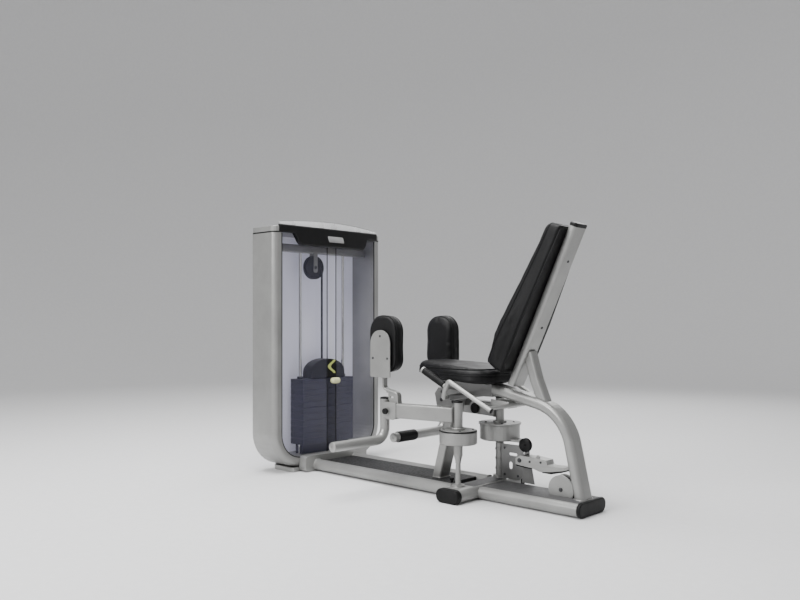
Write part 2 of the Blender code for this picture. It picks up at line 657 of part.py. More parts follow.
def arms():
    sleeves = {
        "near": [(0.0135, 0.190), (0.0135, 0.200), (SLEEVE_R, 0.228), (SLEEVE_R, SLEEVE_TOP)],
        "far": [(SLEEVE_R, 0.2525), (SLEEVE_R, SLEEVE_TOP)],
    }
    for side in SIDES:
        frame = arm_frame(side)
        pivot = frame @ Vector((0.0, 0.0, 0.0))
        sleeve = move(turned(sleeves[side], 24, BORE_R), frame)
        arm = place(f"arm_{side}", sleeve, "silver_paint", (pivot.x, pivot.y, ARM_Z))
        box = rounded(ARM_WIDE, ARM_TALL, 0.007, 3, (0.0, ARM_Z))
        tube = move(prism(box, 0.018, 0.345), frame)
        bracket_outline = [(0.338, 0.4560), (0.338, 0.3760)] + arc((0.358, 0.3840), 0.014, 210, 270, 3)
        bracket_outline += [(0.395, 0.3740), (0.4100, 0.3860), (0.4100, 0.4560)]
        bracket = move(prism(bracket_outline, -0.029, 0.029, "y"), frame)
        cradle = move(prism(circle(FOOT_BAR_R + 0.0006, 24, (ARM_REACH, 0.0)), 0.30, 0.50, "z"), frame)
        web = [(0.3400, 0.4500), (0.3900, 0.4500), (0.4150, 0.5150), (0.4000, 0.5200), (0.3440, 0.4980)]
        web_plate = move(prism(web, -0.004, 0.004, "y"), frame)
        seat_pin = move(prism(circle(0.008, 14, (ARM_REACH, 0.0)), 0.560, 0.5960, "z"), frame)
        fuse(arm, tube, bracket, move(pad_strap(), frame), web_plate, seat_pin)
        window = move(prism(rounded(0.020, 0.010, 0.004, 3, (0.377, 0.479)), -0.05, 0.05, "y"), frame)
        cut(arm, cradle, window, move(prism(circle(BORE_R, 24), 0.10, 0.60, "z"), frame))



def cams():
    """Drums on the arms' sleeves. The far one also has a top flange and a plate that points rearwards."""
    for side, (low, high, radius) in {"near": (0.282, 0.348, 0.089), "far": (0.268, 0.352, 0.100)}.items():
        frame = arm_frame(side)
        bore = SLEEVE_R + GAP
        profile = [(radius - 0.004, low), (radius, low + 0.004), (radius, high - 0.010),
                   (radius - 0.006, high - 0.006), (radius - 0.006, high)]
        spot = (frame.translation.x, frame.translation.y, (low + high) / 2)
        cam = place(f"cam_{side}", move(turned(profile, 40, bore), frame), "silver_paint", spot)
        if side == "far":
            tip = rounded(0.120, 0.060, 0.028, 5, (0.447, PIVOT_Y - 0.010))
            fuse(cam, prism(tip, low, low + 0.012, "z"))
            flange = turned([(radius + 0.006, high - 0.008), (radius + 0.006, high)], 40, bore)
            fuse(cam, move(flange, frame))


def stadium(wide, low, high, low_radius, high_radius, steps=7):
    """An upright outline with round corners of one radius below and another above."""
    half = wide / 2
    points = arc((half - high_radius, high - high_radius), high_radius, 0, 90, steps)
    points += arc((-half + high_radius, high - high_radius), high_radius, 90, 180, steps)
    points += arc((-half + low_radius, low + low_radius), low_radius, 180, 270, steps)
    points += arc((half - low_radius, low + low_radius), low_radius, 270, 360, steps)
    return points


def pads():
    """Each thigh pad turns about the foot bar's axis on a pin above the strap."""
    for side, sign in SIDES.items():
        axis = foot_axis(side)
        inner = sign * (PAD_Y - PAD_THICK / 2)
        outer = sign * (PAD_Y + PAD_THICK / 2)
        rings = []
        for depth, inset in ((0.0, 0.022), (0.012, 0.006), (0.030, 0.0), (0.062, 0.0), (0.080, 0.010)):
            low, high = PAD_Z[0] + inset, PAD_Z[1] - inset
            outline = stadium(PAD_WIDE - 2 * inset, low, high, 0.070 - inset, 0.088 - inset)
            rings.append([(axis.x + x, inner + sign * depth, z) for x, z in outline])
        place(f"pad_cushion_{side}", loft(rings), "black_leather", (axis.x, axis.y, 0.744))

        plate_y = sorted((outer + sign * GAP, outer + sign * 0.005))
        plate = stadium(0.136, 0.578, 0.812, 0.006, 0.066)
        plate = [(axis.x + 0.004 + x, z) for x, z in plate]
        spot = (axis.x, axis.y, 0.600)
        node = place(f"pad_plate_{side}", prism(plate, *plate_y, "y"), "silver_paint", spot)
        hub = move(turned([(0.0150, 0.5705), (0.0150, 0.5950)], 20, 0.0084), at(axis.x, axis.y, 0.0))
        shelf_y = sorted((axis.y + sign * 0.012, outer + sign * 0.003))
        middle = (axis.x, sum(shelf_y) / 2)
        shelf = prism(rounded(0.050, shelf_y[1] - shelf_y[0], 0.002, 1, middle), 0.5800, 0.5860, "z")
        fuse(node, hub, shelf)


def foot_bars():
    """Foot bars swivel in the arm's end. The near one points outwards, the far one inwards."""
    for side, length in FOOT_BAR_REACH.items():
        axis = foot_axis(side)
        x, y = axis.x, axis.y
        corners = [(x, y, 0.470), (x, y, FOOT_BAR_Z), (x, y - length, FOOT_BAR_Z)]
        line = fillet(corners, FOOT_BEND, 8)
        place(f"foot_bar_{side}", sweep(line, circle(FOOT_BAR_R, 22), (1, 0, 0)), "silver_paint",
              (x, y, 0.40))

    axis = foot_axis("far")
    grip_end = axis.y - FOOT_BAR_REACH["far"]
    sleeve = along_y(turned([(0.0280, grip_end + 0.028), (0.0280, grip_end + 0.160)], 22, FOOT_BAR_R + GAP))
    place("foot_grip_far", move(sleeve, at(axis.x, 0.0, FOOT_BAR_Z)), "black_rubber", (axis.x, axis.y, 0.40))


def knobs():
    """Sprung knobs that lock the foot bars, on the outer face of each arm's end."""
    for side in SIDES:
        frame = arm_frame(side)
        spot = frame @ Vector((0.392, 0.029 + GAP, 0.412))
        profile = [(0.006, 0.0), (0.006, 0.006), (0.0145, 0.008), (0.0155, 0.014), (0.0120, 0.020)]
        knob = along_y(turned(profile, 18))
        place(f"lock_knob_{side}", move(knob, frame @ at(0.392, 0.029 + GAP, 0.412)), "black_plastic", spot)


# ------------------------------------------------------------------ rear mechanism
def rear_mechanism():
    plate_y = (PIVOT_Y - SLEEVE_R - 0.008, PIVOT_Y - SLEEVE_R - 0.0016)
    outline = [(0.362, 0.0825), (0.470, 0.0825), (0.492, 0.110), (0.492, 0.236), (0.470, 0.252),
               (0.362, 0.252)]
    plate = place("range_plate", prism(outline, *plate_y, "y"), "grey_paint")
    slots = ((0.432, 0.205, 0.050, 0.014), (0.418, 0.150, 0.022, 0.036))
    for x, z, wide, tall in slots:
        slot = rounded(wide, tall, min(wide, tall) / 2 - 0.0005, 4, (x, z))
        cut(plate, prism(slot, 0.10, 0.16, "y"))

    pivot = (0.532, 0.080, 0.200)
    arm = [(0.510, 0.180), (0.545, 0.176), (0.600, 0.172), (0.645, 0.160), (0.700, 0.166), (0.776, 0.181),
           (0.776, 0.195), (0.700, 0.193), (0.686, 0.197), (0.680, 0.216), (0.620, 0.222), (0.535, 0.223),
           (0.510, 0.208)]
    lever = place("range_lever", prism(arm, 0.045, 0.105, "y"), "light_alloy", pivot)
    cut(lever, across(0.0065, 0.0, 0.20, (pivot[0], pivot[2]), 14))
    bracket = prism([(0.505, 0.0823), (0.575, 0.0823), (0.548, 0.215), (0.516, 0.215)], 0.1062, 0.1120, "y")
    stand = place("lever_stand", bracket, "grey_paint")
    fuse(stand, across(0.006, 0.050, 0.108, (pivot[0], pivot[2]), 14))


def rear_pulley():
    """Pulley sunk in the rear base, between two cheeks joined by its axle."""
    x, z = PULLEY_CENTRE
    centre = (x, 0.0, z)
    radius = COVER_R - 0.006
    profile = [(radius, -0.011), (radius, -0.009), (radius - 0.008, -0.004), (radius - 0.008, 0.004),
               (radius, 0.009), (radius, 0.011)]
    wheel = along_y(turned(profile, 28, 0.0065))
    place("rear_pulley", move(wheel, at(*centre)), "black_plastic", centre)
    dip = math.degrees(math.asin((z - BASE_TOP - GAP) / COVER_R))
    cheek = arc((x, z), COVER_R, -dip, 180 + dip, 18)
    cover = place("pulley_cover", prism(cheek, -0.023, -0.0170, "y"), "silver_paint")
    fuse(cover, prism(cheek, 0.0170, 0.023, "y"), across(0.006, -0.020, 0.020, PULLEY_CENTRE))


def main():
    for thing in list(bpy.data.objects):
        bpy.data.objects.remove(thing, do_unlink=True)
    for build in (base, tower_shells, tower_base, tower_panels, tower_top, weights, top_works, seat_frame,
                  cushions, handles, pivots, arms, cams, pads, foot_bars, knobs, rear_mechanism,
                  rear_pulley):
        build()
    anchor = bpy.data.objects.new("middle_plane", None)
    bpy.context.scene.collection.objects.link(anchor)
    for thing in bpy.data.objects:
        if thing is not anchor:
            thing.parent = anchor
    anchor.location = (0.0, SIDEWAYS, -FLOOR)
    bpy.context.view_layer.update()


main()
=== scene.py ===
"""Looks of the inner and outer thigh machine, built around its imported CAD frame."""

import json
import math

import bmesh
import bpy
from mathutils import Matrix, Vector
from mathutils.bvhtree import BVHTree
from mathutils.kdtree import KDTree


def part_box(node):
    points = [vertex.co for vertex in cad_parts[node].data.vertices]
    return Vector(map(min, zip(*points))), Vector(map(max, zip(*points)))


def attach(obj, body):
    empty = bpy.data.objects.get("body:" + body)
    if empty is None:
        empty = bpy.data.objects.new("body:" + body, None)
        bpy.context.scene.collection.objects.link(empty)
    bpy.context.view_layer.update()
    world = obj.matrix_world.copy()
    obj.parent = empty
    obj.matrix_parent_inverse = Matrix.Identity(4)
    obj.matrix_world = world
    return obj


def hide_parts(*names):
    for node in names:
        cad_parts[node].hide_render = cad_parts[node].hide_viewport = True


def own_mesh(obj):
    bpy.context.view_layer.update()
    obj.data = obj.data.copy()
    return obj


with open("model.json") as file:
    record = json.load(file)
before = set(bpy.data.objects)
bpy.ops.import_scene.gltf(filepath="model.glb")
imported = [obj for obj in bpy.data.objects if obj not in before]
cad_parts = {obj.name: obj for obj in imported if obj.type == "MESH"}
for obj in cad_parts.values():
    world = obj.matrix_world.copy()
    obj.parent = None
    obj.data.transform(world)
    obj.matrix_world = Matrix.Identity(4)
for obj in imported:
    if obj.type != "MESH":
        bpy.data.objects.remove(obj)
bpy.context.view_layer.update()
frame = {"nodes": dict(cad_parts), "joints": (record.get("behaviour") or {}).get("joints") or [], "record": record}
JOINTS = {joint["name"]: joint for joint in frame["joints"]}
SIDES = {"near": -1.0, "far": 1.0}
MIDDLE = sum(corner.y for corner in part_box("spine_tube")) / 2   # the machine's own middle plane

# ------------------------------------------------------------------ sizes, in metres
VOXEL = 0.0055                  # remesh size of the cushions before the cloth simulation
CUSHION_SHRINK = 0.004          # how much smaller than its CAD solid a cushion is before it swells
CLOTH_FRAMES = 20
PLATES = 10                     # plates in the weight stack that have a selector hole
PIPING_R = 0.0022
GASKET_BEND = 0.135             # bottom corners of the tower's opening
WELD_R = 0.0026
BACK_FOOT = Vector((0.5442, MIDDLE, 0.544))      # the back tube's middle line, at its foot and top
BACK_TOP = Vector((0.8753, MIDDLE, 1.261))
BACK_UP = Vector((0.4193, 0.0, 0.9078))
BACK_AHEAD = Vector((-BACK_UP.z, 0.0, BACK_UP.x))
BACK_TUBE_DEEP = 0.037
SEAT_TILT = math.radians(4.0)
HANDLE_REAR = Vector((0.566, 0.0, 0.440))        # rear end of a handle, but for its distance aside
HANDLE_SLOPE = Vector((0.246, 0.0, -0.120)).normalized()
HANDLE_ASIDE = 0.222
GRIP_SLOPE = Vector((-0.8931, 0.0, 0.4498))
GRIP_R = 0.0165
SLEEVE_TOP = 0.456                               # top of the sleeves that the arms swing on
ARM_Z = 0.397                                    # middle height of the arms' square tubes
FOOT_BAR_Z = 0.249
SPINE_FOOT_X = 0.899
DECK_SLOT = (0.030, MIDDLE - 0.055)
DECK_KNOB = (0.215, MIDDLE - 0.070)
UP = (0, 0, 1)
LEFT = (0, -1, 0)
CAMERA_HEADING = math.radians(133.2)
CAMERA_SPOT = Vector((2.7006, MIDDLE - 3.087, 0.854))
CAMERA_LENS = 35.91
CAMERA_SHIFT = 0.0225


# ------------------------------------------------------------------ materials
class Graph:
    """A material's node tree, with short calls for the nodes that the finishes share."""

    def __init__(self, name, **sockets):
        self.material = bpy.data.materials.new(name)
        self.material.use_nodes = True
        self.tree = self.material.node_tree
        self.shader = self.tree.nodes["Principled BSDF"]
        for key, value in sockets.items():
            self.shader.inputs[key.replace("_", " ")].default_value = value
        self.spot = self.node("ShaderNodeTexCoord").outputs["Object"]

    def node(self, kind, **values):
        made = self.tree.nodes.new(kind)
        for key, value in values.items():
            setattr(made, key, value)
        return made

    def feed(self, socket, source):
        if hasattr(source, "is_output"):
            self.tree.links.new(source, socket)
        else:
            socket.default_value = source

    def stretched(self, scale):
        """Object coordinates scaled differently along each axis."""
        mapping = self.node("ShaderNodeMapping")
        mapping.inputs["Scale"].default_value = scale
        self.feed(mapping.inputs["Vector"], self.spot)
        return mapping.outputs["Vector"]

    def noise(self, scale, detail=2.0, spot=None):
        made = self.node("ShaderNodeTexNoise")
        made.inputs["Scale"].default_value = scale
        made.inputs["Detail"].default_value = detail
        self.feed(made.inputs["Vector"], spot or self.spot)
        return made.outputs["Fac"]

    def cells(self, scale, feature="F1", output="Distance"):
        made = self.node("ShaderNodeTexVoronoi", feature=feature)
        made.inputs["Scale"].default_value = scale
        self.feed(made.inputs["Vector"], self.spot)
        return made.outputs[output]

    def fit(self, value, low, high, to_low=0.0, to_high=1.0):
        """Carry a value from one range to another, clamped."""
        made = self.node("ShaderNodeMapRange")
        for key, number in zip(("From Min", "From Max", "To Min", "To Max"), (low, high, to_low, to_high)):
            made.inputs[key].default_value = number
        self.feed(made.inputs["Value"], value)
        return made.outputs["Result"]

    def mix(self, share, one, two):
        """A colour between two colours."""
        made = self.node("ShaderNodeMix", data_type="RGBA")
        sides = (made.inputs["Factor"], share), (made.inputs[6], one), (made.inputs[7], two)
        for socket, source in sides:
            self.feed(socket, (*source, 1.0) if isinstance(source, tuple) else source)
        return made.outputs[2]

    def math(self, operation, one, two):
        made = self.node("ShaderNodeMath", operation=operation)
        self.feed(made.inputs[0], one)
        self.feed(made.inputs[1], two)
        return made.outputs[0]

    def plus(self, one, two):
        return self.math("ADD", one, two)

    def times(self, one, two):
        return self.math("MULTIPLY", one, two)

    def soft_edges(self, radius):
        """Normals rounded over the edges of the mesh."""
        made = self.node("ShaderNodeBevel", samples=4)
        made.inputs["Radius"].default_value = radius
        return made.outputs["Normal"]

    def edge_mask(self, radius):
        """Bright along outer edges, where paint rubs thin."""
        turned = self.node("ShaderNodeVectorMath", operation="DOT_PRODUCT")
        self.feed(turned.inputs[0], self.soft_edges(radius))
        self.feed(turned.inputs[1], self.node("ShaderNodeNewGeometry").outputs["Normal"])
        return self.fit(turned.outputs["Value"], 0.995, 0.90)

    def bump(self, height, strength, distance, normal=None):
        made = self.node("ShaderNodeBump")
        made.inputs["Strength"].default_value = strength
        made.inputs["Distance"].default_value = distance
        self.feed(made.inputs["Height"], height)
        if normal:
            self.feed(made.inputs["Normal"], normal)
        return made.outputs["Normal"]

    def finish(self, colour, roughness, normal):
        self.feed(self.shader.inputs["Base Color"], colour)
        self.feed(self.shader.inputs["Roughness"], roughness)
        self.feed(self.shader.inputs["Normal"], normal)
        return self.material


def brighter(colour, share):
    return tuple(min(1.0, part * share) for part in colour)


def painted(name, dark, light, metallic, round_off=0.0022):
    """Satin powder coat: a faint cloudiness, fine flakes, rubbed edges and a slight orange peel."""
    g = Graph(name, Metallic=metallic, Coat_Weight=0.10, Coat_Roughness=0.30)
    colour = g.mix(g.fit(g.noise(7.0, 4.0), 0.30, 0.70), dark, light)
    flakes = g.fit(g.cells(1600.0, output="Color"), 0.0, 1.0)
    colour = g.mix(g.times(flakes, 0.16), colour, brighter(light, 1.55))
    rubbed = g.times(g.edge_mask(round_off), g.fit(g.noise(55.0, 4.0), 0.50, 0.66))
    colour = g.mix(g.times(rubbed, 0.55), colour, brighter(light, 1.45))
    rough = g.math("SUBTRACT", g.fit(g.noise(38.0, 5.0), 0.25, 0.75, 0.30, 0.42), g.times(rubbed, 0.10))
    peel = g.bump(g.noise(420.0, 2.0), 0.10, 0.0006, g.soft_edges(round_off))
    return g.finish(colour, rough, peel)


def base_paint_shaded_tops(silver_dark, silver_light):
    """Silver paint, dark grey on the flat tops round the machine's middle plane: painted shade under the seat,
    made rougher and bumpy there.
    """
    g = Graph("base_paint_shaded_tops", Metallic=0.35, Coat_Weight=0.08, Coat_Roughness=0.35)
    place = g.node("ShaderNodeSeparateXYZ")
    g.feed(place.inputs[0], g.spot)
    aside = g.math("ABSOLUTE", g.math("SUBTRACT", place.outputs["Y"], MIDDLE), 0.0)
    up = g.node("ShaderNodeSeparateXYZ")
    g.feed(up.inputs[0], g.node("ShaderNodeNewGeometry").outputs["Normal"])
    # painted shade: mask of the flat, upward-facing tops inside the middle band under the seat
    top = g.times(g.fit(up.outputs["Z"], 0.93, 0.97), g.fit(aside, 0.128, 0.120))
    silver = g.mix(g.fit(g.noise(7.0, 4.0), 0.30, 0.70), silver_dark, silver_light)
    # dark grey of the painted shade on those tops
    dark = g.mix(g.noise(320.0, 3.0), (0.050, 0.050, 0.052), (0.110, 0.110, 0.112))
    grit = g.times(g.noise(900.0, 2.0), top)
    rough = g.plus(g.fit(g.noise(38.0, 5.0), 0.25, 0.75, 0.30, 0.42), g.times(top, 0.22))
    return g.finish(g.mix(top, silver, dark), rough, g.bump(grit, 0.30, 0.0010, g.soft_edges(0.002)))


def leather():
    """Black upholstery: small pebbled grain with creases, worn a little smoother in broad patches."""
    g = Graph("black_leather", Specular_IOR_Level=0.17)
    grain = g.fit(g.cells(520.0, "DISTANCE_TO_EDGE"), 0.0, 0.22)
    pores = g.noise(1500.0, 3.0)
    worn = g.fit(g.noise(6.0, 3.0), 0.35, 0.70)
    pitted = g.times(grain, g.fit(pores, 0.3, 0.7))
    colour = g.mix(pitted, (0.0040, 0.0040, 0.0043), (0.0075, 0.0075, 0.0079))
    colour = g.mix(g.times(worn, 0.35), colour, (0.0100, 0.0100, 0.0105))
    rough = g.plus(g.fit(worn, 0.0, 1.0, 0.46, 0.36), g.times(pores, 0.08))
    height = g.plus(grain, g.times(g.noise(60.0, 4.0), 0.8))
    return g.finish(colour, rough, g.bump(height, 0.28, 0.0007))


def moulded(name, dark, light, roughness, grain=700.0, strength=0.18, round_off=0.0016):
    """Moulded plastic or rubber with a fine spark-eroded texture and faint handling marks."""
    g = Graph(name, Specular_IOR_Level=0.18)
    marks = g.fit(g.noise(24.0, 5.0), 0.35, 0.72)
    colour = g.mix(g.times(marks, g.noise(grain, 2.0)), dark, light)
    rough = g.fit(marks, 0.0, 1.0, roughness + 0.06, roughness - 0.05)
    texture = g.bump(g.noise(grain, 3.0), strength, 0.0005, g.soft_edges(round_off))
    return g.finish(colour, rough, texture)


def deck_rubber():
    """Hard rubber matting with shallow round studs and pale dust."""
    g = Graph("dark_deck", Specular_IOR_Level=0.20)
    studs = g.fit(g.cells(85.0, "SMOOTH_F1"), 0.25, 0.55)
    dust = g.times(g.fit(g.noise(5.0, 5.0), 0.45, 0.80), 0.30)
    colour = g.mix(g.noise(500.0, 3.0), (0.009, 0.009, 0.0095), (0.019, 0.019, 0.020))
    colour = g.mix(dust, colour, (0.036, 0.036, 0.036))
    height = g.bump(studs, 0.22, 0.0010, g.soft_edges(0.002))
    return g.finish(colour, g.fit(studs, 0.0, 1.0, 0.62, 0.50), height)


def tinted_panel():
    """Thin smoked panel with a lavender cast, hazed by moulding flow and fine wiping marks."""
    g = Graph("tinted_panel", Alpha=0.06, IOR=1.49, Coat_Weight=0.30, Coat_Roughness=0.12)
    flow = g.noise(2.2, 3.0, g.stretched((1.0, 2.6, 0.35)))
    colour = g.mix(g.fit(flow, 0.30, 0.70), (0.20, 0.20, 0.30), (0.30, 0.30, 0.42))
    wipes = g.noise(60.0, 4.0, g.stretched((1.0, 1.0, 0.08)))
    texture = g.bump(wipes, 0.03, 0.0005, g.soft_edges(0.0015))
    return g.finish(colour, g.fit(wipes, 0.3, 0.7, 0.14, 0.26), texture)


def pale_panel():
    """Milky back panel that glows faintly in its own colour, painted light standing in for light let in from
    behind; brighter in soft clouds.
    """
    g = Graph("pale_panel", Emission_Strength=0.28)
    clouds = g.fit(g.noise(3.0, 3.0, g.stretched((1.0, 1.5, 0.5))), 0.30, 0.70)
    colour = g.mix(clouds, (0.60, 0.60, 0.73), (0.72, 0.72, 0.83))
    # painted light: the panel's colour is also its glow
    g.feed(g.shader.inputs["Emission Color"], colour)
    texture = g.bump(g.noise(300.0, 2.0), 0.06, 0.0005, g.soft_edges(0.001))
    return g.finish(colour, g.fit(clouds, 0.0, 1.0, 0.42, 0.52), texture)


def clear_visor():
    """Clear moulding: mostly seen by its glossy edges and a milky bloom."""
    g = Graph("clear_plastic", Alpha=0.14, IOR=1.49)
    bloom = g.noise(12.0, 4.0)
    colour = g.mix(g.fit(bloom, 0.3, 0.7), (0.70, 0.71, 0.72), (0.88, 0.89, 0.90))
    texture = g.bump(bloom, 0.05, 0.001, g.soft_edges(0.002))
    return g.finish(colour, g.fit(bloom, 0.3, 0.7, 0.10, 0.20), texture)


def bright_metal(name, tint, rough_low, rough_high, lines):
    """Bare metal with fine lines along one axis from polishing or drawing."""
    g = Graph(name, Metallic=1.0)
    drawn = g.noise(180.0, 4.0, g.stretched(lines))
    colour = g.mix(g.fit(drawn, 0.25, 0.75), brighter(tint, 0.86), tint)
    rough = g.fit(g.noise(30.0, 4.0), 0.3, 0.7, rough_low, rough_high)
    return g.finish(colour, rough, g.bump(drawn, 0.05, 0.0004, g.soft_edges(0.0012)))


def cast_plates():
    """Enamelled iron plates: dark navy, a slight pebble and worn plate edges."""
    g = Graph("iron", Metallic=0.15, Coat_Weight=0.2, Coat_Roughness=0.3)
    colour = g.mix(g.fit(g.noise(14.0, 4.0), 0.3, 0.7), (0.006, 0.006, 0.020), (0.013, 0.013, 0.036))
    rubbed = g.times(g.edge_mask(0.0012), g.fit(g.noise(90.0, 4.0), 0.45, 0.65))
    colour = g.mix(g.times(rubbed, 0.5), colour, (0.16, 0.16, 0.18))
    rough = g.fit(g.noise(45.0, 4.0), 0.3, 0.7, 0.38, 0.52)
    return g.finish(colour, rough, g.bump(g.noise(260.0, 3.0), 0.25, 0.0008, g.soft_edges(0.001)))


SILVER_DARK = (0.225, 0.225, 0.219)
SILVER_LIGHT = (0.290, 0.290, 0.282)
MATERIALS = {
    "silver_paint": painted("silver_paint", SILVER_DARK, SILVER_LIGHT, 0.55),
    "grey_paint": painted("grey_paint", (0.150, 0.150, 0.148), (0.200, 0.200, 0.197), 0.50),
    "dark_deck": deck_rubber(),
    "black_rubber": moulded("black_rubber", (0.0035, 0.0035, 0.0035), (0.0070, 0.0070, 0.0073), 0.46,
                            520.0, 0.25),
    "black_leather": leather(),
    "black_plastic": moulded("black_plastic", (0.0055, 0.0055, 0.0058), (0.0100, 0.0100, 0.0106), 0.36),
    "tinted_panel": tinted_panel(),
    "clear_plastic": clear_visor(),
    "pale_panel": pale_panel(),
    "chrome": bright_metal("chrome", (0.80, 0.80, 0.81), 0.08, 0.16, (1.0, 1.0, 0.05)),
    "iron": cast_plates(),
    "light_alloy": bright_metal("light_alloy", (0.38, 0.38, 0.37), 0.34, 0.46, (0.1, 1.0, 1.0)),
    "yellow_green": moulded("yellow_green", (0.50, 0.56, 0.15), (0.66, 0.72, 0.25), 0.36, 900.0, 0.08),
}
BOLT_STEEL = bright_metal("bolt_steel", (0.075, 0.075, 0.078), 0.30, 0.45, (1.0, 1.0, 1.0))
BASE_PAINT = base_paint_shaded_tops(SILVER_DARK, SILVER_LIGHT)
BADGE_GREY = moulded("badge_grey", (0.26, 0.26, 0.26), (0.36, 0.36, 0.36), 0.34, 900.0, 0.08)
CREAM = moulded("cream_plastic", (0.62, 0.62, 0.34), (0.78, 0.78, 0.50), 0.34, 900.0, 0.06)
FLOOR_GREY = moulded("floor_grey", (0.66, 0.66, 0.665), (0.70, 0.70, 0.705), 0.75, 40.0, 0.02)


# ------------------------------------------------------------------ mesh helpers
def shown(name, bm, finish, sharp=35.0):
    """An object made from a bmesh, smooth up to a sharp angle."""
    bmesh.ops.recalc_face_normals(bm, faces=bm.faces)
    mesh = bpy.data.meshes.new(name)
    bm.to_mesh(mesh)
    bm.free()
    mesh.shade_smooth()
    mesh.set_sharp_from_angle(angle=math.radians(sharp))
    mesh.materials.append(finish)
    thing = bpy.data.objects.new(name, mesh)
    bpy.context.scene.collection.objects.link(thing)
    return thing


def piece(name, bm, body, slot, finish=None, sharp=35.0):
    """A shown piece that rides on a CAD body, in its slot's material unless it has its own finish."""
    thing = shown(name, bm, finish or MATERIALS[slot], sharp)
    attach(thing, body)
    return thing


def bolts(name, heads, body):
    """Bolt or screw heads as one piece."""
    return piece(name, joined(heads), body, "chrome", BOLT_STEEL)


def soften(thing, width, segments=2):
    """Round the sharp edges of a piece."""
    modifier = thing.modifiers.new("edges", "BEVEL")
    modifier.width = width
    modifier.segments = segments
    modifier.limit_method = "ANGLE"
    modifier.angle_limit = math.radians(40)
    return thing


def loft(rings, closed=False, topped=True):
    """A surface through rings of points, which closes on itself or ends in flat faces."""
    bm = bmesh.new()
    loops = [[bm.verts.new(point) for point in ring] for ring in rings]
    count = len(loops[0])
    for one, two in zip(loops, loops[1:] + loops[:1] if closed else loops[1:]):
        for i in range(count):
            j = (i + 1) % count
            bm.faces.new((one[i], one[j], two[j], two[i]))
    if not closed:
        bm.faces.new(loops[0])
    if not closed and topped:
        bm.faces.new(list(reversed(loops[-1])))
    return bm


def prism(outline, low, high, axis="z"):
    """Extrude a closed outline from low to high along z or y. Its points are (x, y) or (x, z)."""
    def lift(a, b, height):
        return (a, b, height) if axis == "z" else (a, height, b)
    return loft([[lift(a, b, height) for a, b in outline] for height in (low, high)])


def arc(centre, radius, start, end, steps):
    """Points on a circle from start to end, in degrees, both included."""
    turn = [math.radians(start + (end - start) * i / steps) for i in range(steps + 1)]
    return [(centre[0] + radius * math.cos(t), centre[1] + radius * math.sin(t)) for t in turn]


def rounded(wide, tall, radius, steps=5, centre=(0.0, 0.0)):
    """A rectangle with round corners, counter-clockwise."""
    x, y = wide / 2 - radius, tall / 2 - radius
    points = []
    for cx, cy, start in ((x, y, 0), (-x, y, 90), (-x, -y, 180), (x, -y, 270)):
        points += arc((centre[0] + cx, centre[1] + cy), radius, start, start + 90, steps)
    return points


def circle(radius, steps=32):
    return arc((0.0, 0.0), radius, 0, 360 - 360 / steps, steps - 1)


def aside_of(direction):
    """An axis that is well away from a direction."""
    return Vector(UP) if abs(direction.z) < 0.9 else Vector((1, 0, 0))


def frame_along(direction):
    """Rotation whose Z axis lies along a direction."""
    z = Vector(direction).normalized()
    y = z.cross(aside_of(z)).normalized()
    return Matrix((y.cross(z), y, z)).transposed()


def turned(profile, spot, direction, steps=32, corners=None):
    """A solid turned about a direction from (radius, height) points. Rings in corners are hexagons."""
    turn = frame_along(direction)
    rings = []
    for i, (radius, height) in enumerate(profile):
        ring = []
        for x, y in circle(1.0, steps):
            reach = radius
            if corners and i in corners:
                angle = math.atan2(y, x) % math.radians(60) - math.radians(30)
                reach = radius * math.cos(math.radians(30)) / math.cos(angle)
            ring.append(Vector(spot) + turn @ Vector((reach * x, reach * y, height)))
        rings.append(ring)
    return loft(rings)


def tube(path, radius, steps=12, closed=False, ripple=0.0):
    """A round tube along a path, which may close on itself. ripple swells it like a weld bead."""
    path = [Vector(point) for point in path]
    count = len(path)
    rings = []
    hint = None
    for i, point in enumerate(path):
        ahead = path[(i + 1) % count] if closed else path[min(i + 1, count - 1)]
        behind = path[i - 1] if closed else path[max(i - 1, 0)]
        tangent = (ahead - behind).normalized()
        hint = hint or aside_of(tangent)
        side = (hint - tangent * hint.dot(tangent)).normalized()
        hint = side
        other = tangent.cross(side)
        swell = radius * (1.0 + ripple * (i % 2))
        rings.append([point + side * (swell * x) + other * (swell * y) for x, y in circle(1.0, steps)])
    return loft(rings, closed)


def joined(parts):
    """Several bmeshes as one."""
    whole = bmesh.new()
    for part in parts:
        mesh = bpy.data.meshes.new("part")
        part.to_mesh(mesh)
        part.free()
        whole.from_mesh(mesh)
        bpy.data.meshes.remove(mesh)
    return whole


def even(points, spacing):
    """Points at an even spacing along a closed line."""
    points = [Vector(point) for point in points]
    points.append(points[0])
    lengths = [0.0]
    for one, two in zip(points, points[1:]):
        lengths.append(lengths[-1] + (two - one).length)
    count = max(8, round(lengths[-1] / spacing))
    found = []
    i = 0
    for k in range(count):
        want = min(lengths[-1] * k / count, lengths[-1] - 1e-9)
        while lengths[i + 1] < want:
            i += 1
        part = (want - lengths[i]) / max(lengths[i + 1] - lengths[i], 1e-9)
        found.append(points[i].lerp(points[i + 1], part))
    return found


def weld(path):
    """A rippled bead of weld along a closed path."""
    return tube(even(path, 0.0042), WELD_R, 8, closed=True, ripple=0.22)


def bolt_head(spot, direction, radius, height):
    """Low domed screw head with a hexagon socket."""
    socket = radius * 0.50
    profile = [(radius * 0.92, -0.001), (radius, 0.0), (radius, height * 0.35),
               (radius * 0.86, height * 0.80), (radius * 0.66, height), (socket, height),
               (socket, height * 0.35)]
    return turned(profile, spot, direction, 24, corners=(5, 6))


def hex_head(spot, direction, radius, height):
    """Hexagon bolt head on a round washer."""
    profile = [(radius * 1.30, 0.0), (radius * 1.30, 0.0014), (radius, 0.0015), (radius, height * 0.88),
               (radius * 0.90, height)]
    return turned(profile, spot, direction, 24, corners=(2, 3))


